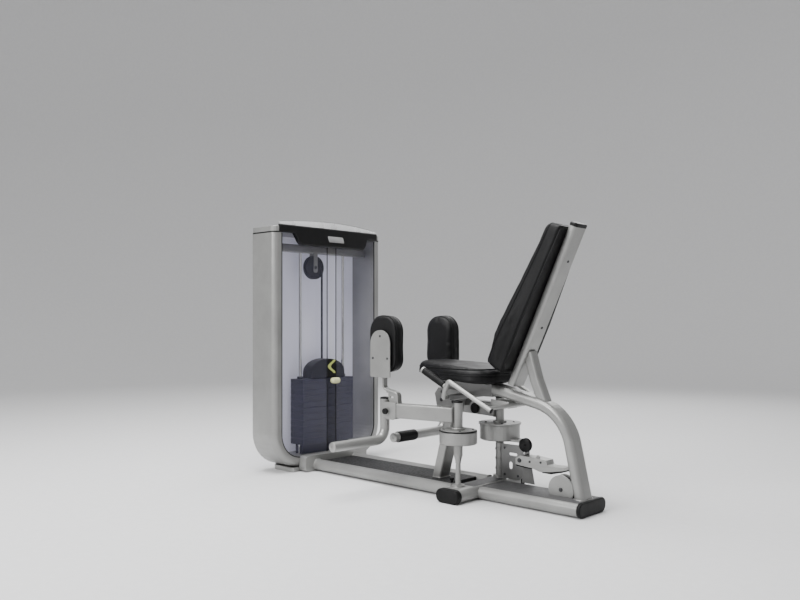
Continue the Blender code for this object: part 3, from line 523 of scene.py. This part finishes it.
def domed_cap(spot, direction, radius, height):
    """Push-in end cap with a rolled rim."""
    profile = [(radius * 0.90, -0.004), (radius * 0.90, 0.0), (radius, 0.0004), (radius, height * 0.40)]
    profile += [(radius * math.cos(t), height * (0.40 + 0.60 * math.sin(t)))
                for t in (math.radians(a) for a in (20, 40, 60, 75))]
    profile.append((radius * 0.05, height * 0.99))
    return turned(profile, spot, direction, 32)


def middle(node):
    low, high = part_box(node)
    return (low + high) / 2


# ------------------------------------------------------------------ cushions
def puffed(name, node, body, cap, hold):
    """A cushion blown up by cloth simulation from a CAD solid. Faces towards hold stay on their board."""
    source = frame["nodes"][node].data.copy()
    thing = bpy.data.objects.new(name, source)
    bpy.context.scene.collection.objects.link(thing)
    thing.data.materials.clear()
    thing.data.materials.append(MATERIALS["black_leather"])
    apply_modifier(thing, "WELD", merge_threshold=0.0002)
    apply_modifier(thing, "DISPLACE", strength=-CUSHION_SHRINK, mid_level=0.0)
    apply_modifier(thing, "REMESH", mode="VOXEL", voxel_size=VOXEL)
    apply_modifier(thing, "SMOOTH", factor=0.5, iterations=10)
    inflate(thing, cap, Vector(hold).normalized())
    apply_modifier(thing, "SMOOTH", factor=0.5, iterations=5)
    thing.data.shade_smooth()
    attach(thing, body)
    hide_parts(node)
    return thing


def apply_modifier(thing, kind, **values):
    """Add a modifier, keep its result as the mesh and remove it."""
    modifier = thing.modifiers.new(kind.lower(), kind)
    for key, value in values.items():
        setattr(modifier, key, value)
    bpy.context.view_layer.update()
    shown = thing.evaluated_get(bpy.context.evaluated_depsgraph_get())
    result = bpy.data.meshes.new_from_object(shown)
    thing.modifiers.remove(modifier)
    thing.data = result


def inflate(thing, cap, hold):
    """Blow the mesh up with cloth pressure, and keep no point further than cap from where it began."""
    rest = [vertex.co.copy() for vertex in thing.data.vertices]
    facing = [vertex.normal.dot(hold) for vertex in thing.data.vertices]
    cloth = thing.modifiers.new("cloth", "CLOTH")
    settings = cloth.settings
    settings.use_pressure = True
    settings.uniform_pressure_force = 4.0
    settings.effector_weights.gravity = 0.0
    settings.quality = 4
    settings.tension_stiffness = 12.0
    settings.compression_stiffness = 12.0
    settings.bending_stiffness = 0.8
    cloth.point_cache.frame_end = CLOTH_FRAMES
    scene = bpy.context.scene
    for number in range(1, CLOTH_FRAMES + 1):
        scene.frame_set(number)
    shown = thing.evaluated_get(bpy.context.evaluated_depsgraph_get())
    blown = [vertex.co.copy() for vertex in shown.data.vertices]
    thing.modifiers.remove(cloth)
    for vertex, old, new, turn in zip(thing.data.vertices, rest, blown, facing):
        step = new - old
        if step.length > cap:
            step *= cap / step.length
        free = min(max((0.55 - turn) / 0.5, 0.0), 1.0)
        vertex.co = old + step * free
    scene.frame_set(1)


def girdle(thing, centre, normal, start, rays=240):
    """Closed line on a cushion's surface, in the plane through centre across normal."""
    bm = bmesh.new()
    bm.from_mesh(thing.data)
    surface = BVHTree.FromBMesh(bm)
    bm.free()
    normal = Vector(normal).normalized()
    first = Vector(start).normalized()
    second = normal.cross(first)
    line = []
    for i in range(rays):
        turn = 2 * math.pi * i / rays
        out = first * math.cos(turn) + second * math.sin(turn)
        hit = surface.ray_cast(Vector(centre) + out, -out)[0]
        line.append(hit)
    return even(line, 0.005)


def press_seam(thing, line, depth, width=0.007):
    """Pull the surface in along a seam."""
    tree = KDTree(len(line))
    for i, point in enumerate(line):
        tree.insert(point, i)
    tree.balance()
    normals = [vertex.normal.copy() for vertex in thing.data.vertices]
    for vertex, normal in zip(thing.data.vertices, normals):
        distance = tree.find(vertex.co)[2]
        vertex.co -= normal * (depth * math.exp(-(distance / width) ** 2))
    thing.data.update()


def piped(thing, name, body, centre, normal, start, depth=0.0022):
    """A seam with piping round a cushion."""
    line = girdle(thing, centre, normal, start)
    press_seam(thing, line, depth)
    piece(name, tube(line, PIPING_R, 10, closed=True), body, "black_leather")


def smoothed(thing):
    """One level of subdivision, kept as the mesh."""
    apply_modifier(thing, "SUBSURF", levels=1, render_levels=1)
    thing.data.shade_smooth()


def seat_cushion():
    """Crowned seat pad with two rows of piping, on a black board."""
    rise = Vector((math.sin(SEAT_TILT), 0.0, math.cos(SEAT_TILT)))
    seat = puffed("seat_pad", "seat_cushion", "frame", 0.007, -rise)
    centre = middle("seat_cushion")
    for i, height in enumerate((-0.006, 0.022)):
        piped(seat, f"seat_piping_{i}", "frame", centre + rise * height, rise, (1, 0, 0))
    smoothed(seat)
    hub = centre - rise * 0.026
    inward = [point.lerp(hub, 0.03) for point in girdle(seat, hub, rise, (1, 0, 0), 90)]
    rings = [[point - rise * drop for point in inward] for drop in (0.0, 0.0105)]
    soften(piece("seat_board", loft(rings), "frame", "black_plastic"), 0.002)


def back_cushion():
    """Back pad with one row of piping near its front."""
    back = puffed("back_pad", "back_cushion", "frame", 0.006, -BACK_AHEAD)
    spot = middle("back_cushion") + BACK_AHEAD * 0.030
    piped(back, "back_piping", "frame", spot, BACK_AHEAD + BACK_UP * 0.045, (0, 1, 0), 0.0012)
    smoothed(back)


def thigh_pads():
    """The two swivelling pads, with two rows of piping and the screws of their plates."""
    for side, sign in SIDES.items():
        node = f"pad_cushion_{side}"
        centre = middle(node)
        outwards = Vector((0.0, sign, 0.0))
        pad = puffed(f"thigh_pad_{side}", node, f"{side}_pad", 0.005, outwards)
        for i, depth in enumerate((-0.022, 0.024)):
            spot = centre + outwards * depth
            piped(pad, f"thigh_piping_{side}_{i}", f"{side}_pad", spot, outwards, (1, 0, 0))
        smoothed(pad)
        plate_low, plate_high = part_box(f"pad_plate_{side}")
        face = plate_low.y if sign < 0 else plate_high.y
        x = (plate_low.x + plate_high.x) / 2
        spots = ((0.0, 0.030), (-0.050, 0.140), (0.050, 0.140))
        heads = [bolt_head((x + a, face, plate_high.z - b), outwards, 0.0058, 0.0032) for a, b in spots]
        bolts(f"pad_screws_{side}", heads, f"{side}_pad")


# ------------------------------------------------------------------ tower
def tower_details():
    """Cap seams, drawn taller than their gap so they also paint its shade, gaskets and slot trims on both sides,
    then the header, cover and back.
    """
    shell_low, shell_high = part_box("tower_side_near")
    far_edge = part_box("tower_side_far")[1].y
    panel_low, panel_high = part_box("front_panel_near")
    far_panel_low, far_panel_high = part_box("front_panel_far")
    seam_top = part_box("side_cap_near")[0].z + 0.0020
    front = shell_high.x
    lip = front - 0.003

    for side, sign in SIDES.items():
        shell_edge = shell_low.y if sign < 0 else far_edge
        across = sorted((shell_edge + sign * 0.0008, shell_edge - sign * 0.0345))
        seam = seam_outline(shell_low.x, front + 0.0008, across, sign)
        # black strip in the gap between shell and cap, reaching past the gap's edges so it also paints the shade
        # there: part seam, part painted shade
        strip = prism(seam, shell_high.z - 0.0015, seam_top)
        piece(f"cap_seam_and_gap_shade_{side}", strip, "frame", "black_rubber")

        edge = panel_low.y if sign < 0 else far_panel_high.y
        corner = arc((sign * edge - GASKET_BEND, panel_low.z + GASKET_BEND), GASKET_BEND, 0, -90, 14)
        line = [(lip, edge, shell_high.z - 0.004)] + [(lip, sign * y, z) for y, z in corner]
        line.append((lip, 0.0, panel_low.z))
        piece(f"panel_gasket_{side}", tube(line, 0.0030, 10), "frame", "black_rubber")

        slot_edge = panel_high.y if sign < 0 else far_panel_low.y
        strip = rounded(0.0056, 0.0040, 0.0015, 3, (panel_high.x - 0.0025, slot_edge))
        strip = prism(strip, panel_low.z, shell_high.z)
        piece(f"slot_trim_{side}", strip, "frame", "black_rubber")

    tower_half = (far_edge - shell_low.y) / 2
    header_badge(front, tower_half)
    visor(front, tower_half)
    back_screws()


def seam_outline(back, front, across, sign):
    """Plan of the black strip between a side shell and its cap, a little proud of both."""
    inner, outer = (across[1], across[0]) if sign < 0 else across
    corner = arc((sign * outer - 0.032, front - 0.032), 0.032, 0, 90, 6)
    points = [(sign * inner, back), (sign * outer - 0.008, back), (sign * outer, back + 0.008)]
    points += corner + [(sign * inner, front)]
    return [(x, sign * y) for y, x in points]


def header_badge(front, tower_half):
    """Blank slanted badge that follows the header's bow."""
    low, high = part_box("header")
    crown = high.x - front
    centre_y, centre_z = MIDDLE + 0.014, low.z + 0.043
    half_long, half_tall, slant = 0.058, 0.0165, 0.010
    rings = []
    for inset, proud in ((0.0, 0.0002), (0.0, 0.0022), (0.0015, 0.0032)):
        ring = []
        for y, z in rounded(2 * (half_long - inset), 2 * (half_tall - inset), 0.0065, 5):
            along = centre_y + y + slant * z / half_tall * -0.6
            x = front + crown * (1 - ((along - MIDDLE) / tower_half) ** 2) + proud
            ring.append((x, along, centre_z + z))
        rings.append(ring)
    piece("header_badge", loft(rings), "frame", "grey_paint", BADGE_GREY)


def visor(front, tower_half):
    """Clear bowed cover over the header: a thin skin with ribs across it."""
    low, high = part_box("top_cover")
    half = (high.y - low.y) / 2
    crown = high.x - front

    def edges(y):
        bow = 1 - ((y - MIDDLE) / tower_half) ** 2
        lift = 1 - ((y - MIDDLE) / half) ** 2
        foot = low.z + 0.005 * (1 - bow)
        return front + crown * bow, foot, foot + 0.0165 + (high.z - low.z - 0.0175) * lift

    def section(y, wall):
        lip, foot, top = edges(y)
        back = low.x + 0.004
        knee = foot + (top - foot) * 0.55
        outer = [(lip - 0.001, foot), (lip - 0.010, knee), (lip - 0.028, top - 0.001), (back, top)]
        inner = [(back, top - wall), (lip - 0.028, top - wall - 0.001),
                 (lip - 0.010 - wall, knee - wall * 0.5), (lip - 0.001 - wall, foot)]
        return [(x, y, z) for x, z in outer + inner]

    steps = 28
    rows = [section(MIDDLE + half * (2 * i / steps - 1) * 0.999, 0.0025) for i in range(steps + 1)]
    skin = piece("visor", loft(rows), "frame", "clear_plastic")
    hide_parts("top_cover")
    ribs = []
    for share in (-0.72, -0.18, 0.08, 0.62):
        y = MIDDLE + half * share
        lip, foot, top = edges(y)
        back = low.x + 0.006
        outline = [(back, foot + 0.001), (lip - 0.006, foot + 0.001), (lip - 0.014, (foot + top) / 2),
                   (lip - 0.030, top - 0.004), (back, top - 0.004)]
        ribs.append(prism(outline, y - 0.0012, y + 0.0012, "y"))
    line = [(edges(y)[0] - 0.027, y, edges(y)[2] - 0.0006)
            for y in (MIDDLE + half * (2 * i / steps - 1) * 0.99 for i in range(steps + 1))]
    ribs.append(tube(line, 0.0016, 8))
    piece("visor_ribs", joined(ribs), "frame", "clear_plastic", BADGE_GREY)


def back_screws():
    """Screws that hold the rear panel."""
    low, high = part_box("tower_back_panel")
    heads = []
    for y in (low.y + 0.030, high.y - 0.030):
        for i in range(4):
            z = low.z + 0.170 + (high.z - low.z - 0.200) * i / 3
            heads.append(bolt_head((low.x, y, z), (-1, 0, 0), 0.0055, 0.0026))
    bolts("rear_panel_screws", heads, "frame")


def weight_details():
    """Selector holes down the stack, rod bushes, and what is on the carriage and over it."""
    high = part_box("weight_stack")[1]
    pin = middle("selector_pin")
    pitch = (high.z - 0.132) / PLATES
    profile = [(0.0095, 0.0), (0.0095, 0.0016), (0.0062, 0.0016), (0.0062, 0.0003)]
    rings = [turned(profile, (high.x - 0.0001, pin.y, high.z - pitch * (i + 0.5)), (1, 0, 0), 24)
             for i in range(PLATES)]
    piece("selector_holes", joined(rings), "frame", "iron")

    profile = [(0.0153, 0.0), (0.017, 0.001), (0.017, 0.012), (0.0105, 0.014)]
    rods = [middle(f"guide_rod_{side}") for side in SIDES]
    bushes = [turned(profile, (rod.x, rod.y, high.z + 0.024), UP, 28) for rod in rods]
    piece("rod_bushes", joined(bushes), "carriage", "black_rubber")
    shroud_ribbon(pin)
    selector_pin(pin)

    wheel = middle("top_pulley")
    head = bolt_head((wheel.x + 0.0195, wheel.y, wheel.z), (1, 0, 0), 0.010, 0.004)
    bolts("top_axle_bolt", [head], "frame")
    lift_belt()


def shroud_ribbon(pin):
    """Blank curved mark on the carriage shroud."""
    low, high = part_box("carriage_shroud")
    wide, thick, steps = 0.0120, 0.0016, 24
    band = []
    for i in range(steps + 1):
        share = i / steps
        x = high.x + 0.0008
        y = pin.y + 0.034 + 0.022 * math.cos(math.pi * (0.10 + 1.75 * share))
        z = low.z + 0.026 + 0.078 * share
        edge = wide - 0.0008
        band.append([(x, y - wide, z), (x, y + wide, z), (x + thick, y + edge, z), (x + thick, y - edge, z)])
    piece("shroud_ribbon", loft(band), "carriage", "yellow_green")


def selector_pin(pin):
    """Cream handle with round corners on a steel shaft."""
    low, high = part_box("selector_pin")
    rings = [[(high.x - 0.034 + depth, pin.y + y, pin.z + z)
              for y, z in rounded(2 * (0.029 - inset), 2 * (0.0165 - inset), 0.0150 - inset, 6)]
             for depth, inset in ((0.0, 0.008), (0.003, 0.002), (0.010, 0.0), (0.024, 0.0), (0.031, 0.003),
                                  (0.034, 0.009))]
    knob = piece("selector_handle", loft(rings), "selector_pin", "yellow_green", CREAM, sharp=60.0)
    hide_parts("selector_pin")
    profile = [(0.0046, 0.0), (0.0048, 0.001), (0.0048, high.x - low.x - 0.033)]
    shaft = turned(profile, (low.x, pin.y, pin.z), (1, 0, 0), 20)
    piece("selector_shaft", shaft, "selector_pin", "chrome")


def lift_belt():
    """Flat belt from the carriage to the top pulley, which shortens as the carriage rises."""
    low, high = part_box("lift_cable")
    centre = middle("lift_cable")
    outline = rounded(high.x - low.x, high.y - low.y, 0.0014, 3, (centre.x, centre.y))
    belt = piece("lift_belt", prism(outline, low.z, high.z), "frame", "black_rubber")
    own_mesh(belt)
    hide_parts("lift_cable")


# ------------------------------------------------------------------ frame details
def frame_details():
    """What is on the frame: the posts first, then the back, base and seat."""
    for side in SIDES:
        post = middle(f"pivot_post_{side}")
        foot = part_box(f"pivot_post_{side}")[0].z
        cap = domed_cap((post.x, post.y, SLEEVE_TOP + 0.0003), UP, 0.0222, 0.011)
        piece(f"shaft_cap_{side}", cap, "frame", "black_plastic")
        ring = [(post.x + a, post.y + b, foot) for a, b in circle(0.0315, 40)]
        piece(f"post_weld_{side}", weld(ring), "frame", "silver_paint")

    post = middle("pivot_post_far")
    profile = [(0.0214, 0.0), (0.0236, 0.0015), (0.0236, 0.0105), (0.0214, 0.012)]
    rings = [turned(profile, (post.x, post.y, z), UP) for z in (0.100, 0.150, 0.196)]
    piece("post_rings", joined(rings), "frame", "silver_paint")
    back_details()
    base_details()
    under_seat()


def back_details():
    """Cap on the back tube, its bolts, and the board behind the back cushion."""
    low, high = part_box("back_tube")
    wide = high.y - low.y
    rings = []
    for rise, inset in ((-0.006, -0.0008), (0.006, -0.0008), (0.0105, 0.003)):
        outline = rounded(wide - 2 * inset, BACK_TUBE_DEEP - 2 * inset, 0.0128 - inset)
        rings.append([BACK_TOP + BACK_UP * rise + Vector((0, a, 0)) + BACK_AHEAD * b for a, b in outline])
    piece("back_tube_cap", loft(rings), "frame", "black_plastic")

    heads = []
    for reach in (0.300, 0.625):
        spot = BACK_FOOT + BACK_UP * reach - BACK_AHEAD * (BACK_TUBE_DEEP / 2 - 0.0002)
        heads.append(bolt_head(spot, -BACK_AHEAD, 0.0062, 0.0034))
    bolts("back_bolts", heads, "frame")

    board = []
    behind, before = 0.0192, 0.0285
    for reach, half in ((0.076, 0.110), (0.094, 0.122), (0.300, 0.124), (0.500, 0.112), (0.700, 0.098),
                        (0.752, 0.094), (0.764, 0.084)):
        board.append([BACK_FOOT + BACK_UP * reach + BACK_AHEAD * depth + Vector((0.0, y, 0.0))
                      for y, depth in ((-half, behind), (half, behind), (half, before), (-half, before))])
    soften(piece("back_board", loft(board), "frame", "black_plastic"), 0.002)


def base_details():
    """Weld beads where tubes meet, the pulley's bolts, and the slot and knob of the deck."""
    beads = []
    for side in SIDES:
        low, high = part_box(f"front_tube_{side}")
        radius = (high.z - low.z) / 2
        y, z = (low.y + high.y) / 2, (low.z + high.z) / 2
        for x in (low.x + 0.001, high.x - 0.001):
            beads.append(weld([(x, y + radius * a, z + radius * b) for a, b in circle(1.0, 40)]))
    low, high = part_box("rear_base_tube")
    tall = high.z - low.z
    outline = rounded(high.y - low.y, tall, tall / 2 - 0.002, 8, (MIDDLE, (high.z + low.z) / 2))
    beads.append(weld([(low.x + 0.001, a, b) for a, b in outline]))
    spine_low, spine_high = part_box("spine_tube")
    outline = rounded(0.0560, spine_high.y - spine_low.y + 0.001, 0.020, 6, (SPINE_FOOT_X, MIDDLE))
    beads.append(weld([(a, b, high.z + 0.0006) for a, b in outline]))
    post_low, post_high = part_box("front_post")
    outline = rounded(0.0540, post_high.y - post_low.y + 0.001, 0.010, 5, (post_low.x + 0.0275, MIDDLE))
    beads.append(weld([(a, b, post_low.z + 0.0010) for a, b in outline]))
    piece("frame_welds", joined(beads), "frame", "silver_paint")

    low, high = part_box("pulley_cover")
    centre = Vector(JOINTS["rear_pulley_spin"]["pos_m"])
    heads = [hex_head((centre.x, y, centre.z), (0, sign, 0), 0.0075, 0.006)
             for y, sign in ((low.y, -1), (high.y, 1))]
    bolts("pulley_bolts", heads, "frame")

    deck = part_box("foot_deck")[1].z
    outline = rounded(0.060, 0.013, 0.006, 5, DECK_SLOT)
    slot = prism(outline, deck - 0.0005, deck + 0.0008)
    soften(piece("deck_slot", slot, "frame", "black_rubber"), 0.0004, 1)
    profile = [(0.006, 0.0), (0.006, 0.006), (0.0120, 0.008), (0.0125, 0.018), (0.0100, 0.022),
               (0.002, 0.0225)]
    piece("deck_knob", turned(profile, (*DECK_KNOB, deck), UP, 28), "frame", "black_plastic")


def under_seat():
    """Seat bracket plates, the bright channel under the spine and their bolts."""
    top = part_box("seat_rail")[0].z + 0.022
    outline = [(0.100, top - 0.075), (0.235, top - 0.068), (0.262, top - 0.020), (0.262, top + 0.012),
               (0.110, top + 0.020), (0.086, top - 0.010)]
    for side, sign in SIDES.items():
        y = MIDDLE + sign * 0.046
        plate = prism(outline, y - 0.0025, y + 0.0025, "y")
        soften(piece(f"seat_bracket_{side}", plate, "frame", "grey_paint"), 0.001)
    heads = []
    for sign in SIDES.values():
        for x, drop in ((0.130, 0.040), (0.205, 0.045), (0.235, 0.010), (0.135, 0.0)):
            spot = (x, MIDDLE + sign * 0.0485, top - drop)
            heads.append(hex_head(spot, (0, sign, 0), 0.0070, 0.0055))
    bolts("seat_bracket_bolts", heads, "frame")

    channel = [(-0.034, 0.0), (0.034, 0.0), (0.034, 0.030), (0.030, 0.030), (0.030, 0.004), (-0.030, 0.004),
               (-0.030, 0.030), (-0.034, 0.030)]
    rings = [[(x, MIDDLE + a, z + b) for a, b in channel] for x, z in ((0.424, 0.440), (0.528, 0.432))]
    soften(piece("spine_channel", loft(rings), "frame", "light_alloy"), 0.001)


def handle_caps():
    """Black plugs in the rear ends of the handle tubes."""
    for side, sign in SIDES.items():
        end = HANDLE_REAR + Vector((0.0, MIDDLE + sign * HANDLE_ASIDE, 0.0))
        piece(f"handle_plug_{side}", domed_cap(end, HANDLE_SLOPE, 0.0116, 0.006), "frame", "black_plastic")


def grips():
    """Ribbed rubber sleeves over the handles' branches and over the far foot bar."""
    for side in SIDES:
        low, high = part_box(f"grip_{side}")
        y = (low.y + high.y) / 2
        start = Vector((high.x - GRIP_R * GRIP_SLOPE.z, y, low.z - GRIP_R * GRIP_SLOPE.x))
        end = Vector((low.x + GRIP_R * GRIP_SLOPE.z, y, high.z + GRIP_R * GRIP_SLOPE.x))
        sleeve = piece(f"grip_sleeve_{side}", ribbed(start, end, GRIP_R), "frame", "black_rubber")
        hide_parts(f"grip_{side}")
    low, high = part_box("foot_grip_far")
    centre = (low + high) / 2
    sleeve = ribbed((centre.x, low.y, centre.z), (centre.x, high.y, centre.z), 0.0280)
    sleeve = piece("foot_grip_sleeve", sleeve, "far_foot_bar", "black_rubber")
    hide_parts("foot_grip_far")


def ribbed(start, end, radius):
    """A sleeve with shallow rings and rounded ends."""
    start, end = Vector(start), Vector(end)
    length = (end - start).length
    profile = [(radius * 0.80, 0.0), (radius * 0.95, 0.0015), (radius, 0.004)]
    rings = round((length - 0.016) / 0.006)
    for i in range(rings):
        z = 0.008 + (length - 0.016) * i / rings
        groove = radius - 0.0009
        profile += [(radius, z), (groove, z + 0.0008), (groove, z + 0.0020), (radius, z + 0.0028)]
    profile += [(radius, length - 0.004), (radius * 0.95, length - 0.0015), (radius * 0.80, length)]
    return turned(profile, start, end - start, 32)


def arm_axes(side):
    """An arm's pivot and the axis at its end, on the floor, and the direction between them."""
    pivot = Vector(JOINTS[f"{side}_arm_swing"]["pos_m"])
    axis = Vector(JOINTS[f"{side}_foot_bar_turn"]["pos_m"])
    pivot.z = axis.z = 0.0
    return pivot, axis, (axis - pivot).normalized()


def arm_details():
    """Caps, end plugs, welds, fluted knobs, bolts and collars of both arms."""
    for side in SIDES:
        pivot, axis, along = arm_axes(side)
        outwards = Vector(JOINTS[f"{side}_knob_pull"]["axis"])
        bar_low, bar_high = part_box(f"foot_bar_{side}")
        cap = domed_cap((axis.x, axis.y, bar_high.z + 0.0002), UP, 0.0245, 0.010)
        piece(f"bar_cap_{side}", cap, f"{side}_foot_bar", "black_plastic")
        profile = [(0.0225, -0.002), (0.0232, 0.0), (0.0232, 0.0020), (0.0215, 0.0030), (0.0095, 0.0030),
                   (0.0085, 0.0018), (0.0085, -0.0006)]
        plug = turned(profile, (axis.x, bar_low.y, FOOT_BAR_Z), LEFT, 36)
        piece(f"bar_plug_{side}", plug, f"{side}_foot_bar", "light_alloy")

        box = rounded(0.0505, 0.0725, 0.007, 4)
        beads = []
        for reach in (0.0225, 0.3385):
            spot = pivot + along * reach + Vector((0, 0, ARM_Z))
            beads.append(weld([spot + outwards * a + Vector((0, 0, b)) for a, b in box]))
        piece(f"arm_welds_{side}", joined(beads), f"{side}_arm", "silver_paint")

        foot = middle(f"lock_knob_{side}") - outwards * 0.010
        knob = piece(f"lock_grip_{side}", fluted(foot, outwards), f"{side}_lock_knob", "black_plastic")
        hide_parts(f"lock_knob_{side}")

        top = Vector((0, 0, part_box(f"cam_{side}")[1].z))
        ring = arc((pivot.x, pivot.y), 0.070, 45, 315, 3)
        heads = [bolt_head((x, y, top.z - 0.0002), UP, 0.0060, 0.0034) for x, y in ring]
        bolts(f"cam_bolts_{side}", heads, f"{side}_arm")
        profile = [(0.0320, 0.0), (0.0330, 0.001), (0.0330, 0.008), (0.0310, 0.010), (0.0222, 0.010)]
        piece(f"cam_collar_{side}", turned(profile, pivot + top, UP, 36), f"{side}_arm", "silver_paint")
    near_drum(arm_axes("near")[0])
    bumper()


def near_drum(pivot):
    """Black hoop round the near drum, and the stud on its inner side."""
    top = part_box("cam_near")[1].z
    hoop = [(pivot.x + a, pivot.y + b, top - 0.0055) for a, b in circle(0.0866, 64)]
    piece("cam_hoop", tube(hoop, 0.0030, 8, closed=True), "near_arm", "black_rubber")
    stud = hex_head((pivot.x, pivot.y + 0.0885, top - 0.034), (0, 1, 0), 0.0095, 0.016)
    piece("cam_stud", stud, "near_arm", "light_alloy")


def fluted(foot, direction):
    """Round knob with grip flutes on a short neck."""
    turn = frame_along(direction)
    steps = 72
    rings = []
    for radius, height, depth in ((0.0062, 0.0, 0.0), (0.0062, 0.0060, 0.0), (0.0130, 0.0072, 0.0),
                                  (0.0152, 0.0090, 0.5), (0.0155, 0.0110, 1.0), (0.0155, 0.0160, 1.0),
                                  (0.0142, 0.0188, 0.5), (0.0100, 0.0198, 0.0), (0.0030, 0.0200, 0.0)):
        ring = []
        for x, y in circle(1.0, steps):
            angle = math.atan2(y, x)
            reach = radius - 0.0010 * depth * (0.5 + 0.5 * math.cos(12 * angle))
            ring.append(Vector(foot) + turn @ Vector((reach * x, reach * y, height)))
        rings.append(ring)
    return loft(rings)


def bumper():
    """Rubber stop on the inner side of the far arm."""
    pivot, _, along = arm_axes("far")
    inwards = Vector((-along.y, along.x, 0.0))
    inwards *= -math.copysign(1.0, inwards.y)
    foot = pivot + Vector((0.0, 0.0, 0.392)) + along * 0.150 + inwards * 0.0252
    disc = turned([(0.0260, 0.0), (0.0275, 0.002), (0.0275, 0.009), (0.0250, 0.0125), (0.0120, 0.0135),
                   (0.0110, 0.0110), (0.0020, 0.0110)], foot, inwards, 36)
    piece("arm_bumper", disc, "far_arm", "black_rubber")


def range_works():
    """Rubber edges, bolts and tab of the range lever, the guide roller, and the range plate's bolts."""
    low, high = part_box("range_lever")
    pivot = Vector(JOINTS["range_lever_lift"]["pos_m"])
    ahead = [(0.512, 0.1605), (0.560, 0.1575), (0.600, 0.1532), (0.600, 0.1490), (0.560, 0.1500),
             (0.512, 0.1545)]
    behind = [(0.655, 0.1445), (0.700, 0.1472), (0.768, 0.1605), (0.768, 0.1540), (0.705, 0.1380),
              (0.655, 0.1385)]
    pads = [prism(outline, low.y + 0.002, high.y - 0.002, "y") for outline in (ahead, behind)]
    soften(piece("lever_rubbers", joined(pads), "range_lever", "black_rubber"), 0.0015)
    heads = [hex_head((pivot.x, low.y, pivot.z), LEFT, 0.0085, 0.006)]
    heads += [bolt_head((x, low.y, z), LEFT, 0.0055, 0.003) for x, z in ((0.590, 0.182), (0.650, 0.186))]
    bolts("lever_bolts", heads, "range_lever")
    outline = [(0.618, 0.2040), (0.640, 0.2040), (0.634, 0.2160), (0.624, 0.2160)]
    tab = prism(outline, low.y + 0.010, low.y + 0.016, "y")
    soften(piece("lever_tab", tab, "range_lever", "light_alloy"), 0.001)
    guide_roller(Vector((0.531, MIDDLE + 0.098, 0.248)))

    low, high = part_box("range_plate")
    spots = ((low.x + 0.020, low.z + 0.020), (low.x + 0.100, low.z + 0.020), (low.x + 0.020, high.z - 0.020))
    heads = [bolt_head((x, low.y, z), LEFT, 0.0060, 0.0032) for x, z in spots]
    bolts("range_plate_bolts", heads, "frame")


def guide_roller(centre):
    """Black flanged roller on a short arm beside the range plate."""
    profile = [(0.030, -0.010), (0.033, -0.008), (0.027, -0.003), (0.027, 0.003), (0.033, 0.008),
               (0.030, 0.010)]
    piece("guide_roller", turned(profile, centre, (0, 1, 0), 40), "frame", "black_plastic")
    outline = [(0.515, 0.190), (0.547, 0.190), (0.543, 0.262), (0.519, 0.262)]
    cheek = prism(outline, centre.y + 0.0120, centre.y + 0.0152, "y")
    soften(piece("roller_arm", cheek, "frame", "grey_paint"), 0.001)
    bolt = hex_head((centre.x, centre.y - 0.010, centre.z), LEFT, 0.0070, 0.005)
    piece("roller_bolt", bolt, "frame", "black_plastic")


# ------------------------------------------------------------------ finishes of the CAD nodes
def dress_cad():
    """Give every CAD node its procedural finish."""
    slots = {row["node"]: row["material_slot"] for row in frame["record"]["subparts"]}
    for name, node in frame["nodes"].items():
        node.data.materials.clear()
        node.data.materials.append(MATERIALS[slots[name]])
    # these two tubes get painted shade on their flat tops round the middle plane
    for name in ("rear_base_tube", "cross_tube"):
        frame["nodes"][name].data.materials[0] = BASE_PAINT


# ------------------------------------------------------------------ stage
def stage():
    """A pale floor that curves up into a wall all round, so that no horizon shows from any side."""
    radius, wall, bend = 11.0, 5.0, 4.0
    profile = [(0.02, 0.0), (2.0, 0.0), (radius - bend, 0.0)]
    profile += [(radius - bend + bend * math.sin(t), bend - bend * math.cos(t))
                for t in (math.radians(7.5 * i) for i in range(1, 13))]
    profile.append((radius, bend + wall))
    rings = [[(r * x, r * y, z - 0.0006) for x, y in circle(1.0, 96)] for r, z in profile]
    shown("studio_floor", loft(rings, topped=False), FLOOR_GREY)


def soft_light(name, spot, target, size, power):
    data = bpy.data.lights.new(name, "AREA")
    data.shape = "RECTANGLE"
    data.size, data.size_y = size
    data.energy = power
    light = bpy.data.objects.new(name, data)
    light.location = spot
    light.visible_camera = False
    light.rotation_mode = "QUATERNION"
    light.rotation_quaternion = (Vector(target) - Vector(spot)).to_track_quat("-Z", "Y")
    bpy.context.scene.collection.objects.link(light)


def lights():
    world = bpy.data.worlds.new("studio")
    world.use_nodes = True
    background = world.node_tree.nodes["Background"]
    background.inputs["Color"].default_value = (1.0, 1.0, 1.0, 1.0)
    background.inputs["Strength"].default_value = 0.62
    bpy.context.scene.world = world
    target = (0.0, 0.0, 0.6)
    soft_light("key", (-0.6, -5.2, 3.4), target, (3.0, 2.2), 330.0)
    soft_light("top", (-0.4, -0.6, 4.6), target, (3.6, 3.0), 380.0)
    soft_light("rim", (-1.5, 4.5, 3.0), target, (3.0, 2.0), 70.0)


def camera():
    data = bpy.data.cameras.new("camera")
    data.lens = CAMERA_LENS
    data.sensor_width = 36.0
    data.shift_y = CAMERA_SHIFT
    thing = bpy.data.objects.new("camera", data)
    thing.location = CAMERA_SPOT
    ahead = Vector((math.cos(CAMERA_HEADING), math.sin(CAMERA_HEADING), 0.0))
    thing.rotation_mode = "QUATERNION"
    thing.rotation_quaternion = ahead.to_track_quat("-Z", "Y")
    bpy.context.scene.collection.objects.link(thing)
    bpy.context.scene.camera = thing


camera()
lights()
stage()
dress_cad()
seat_cushion()
back_cushion()
thigh_pads()
tower_details()
weight_details()
frame_details()
grips()
handle_caps()
arm_details()
range_works()
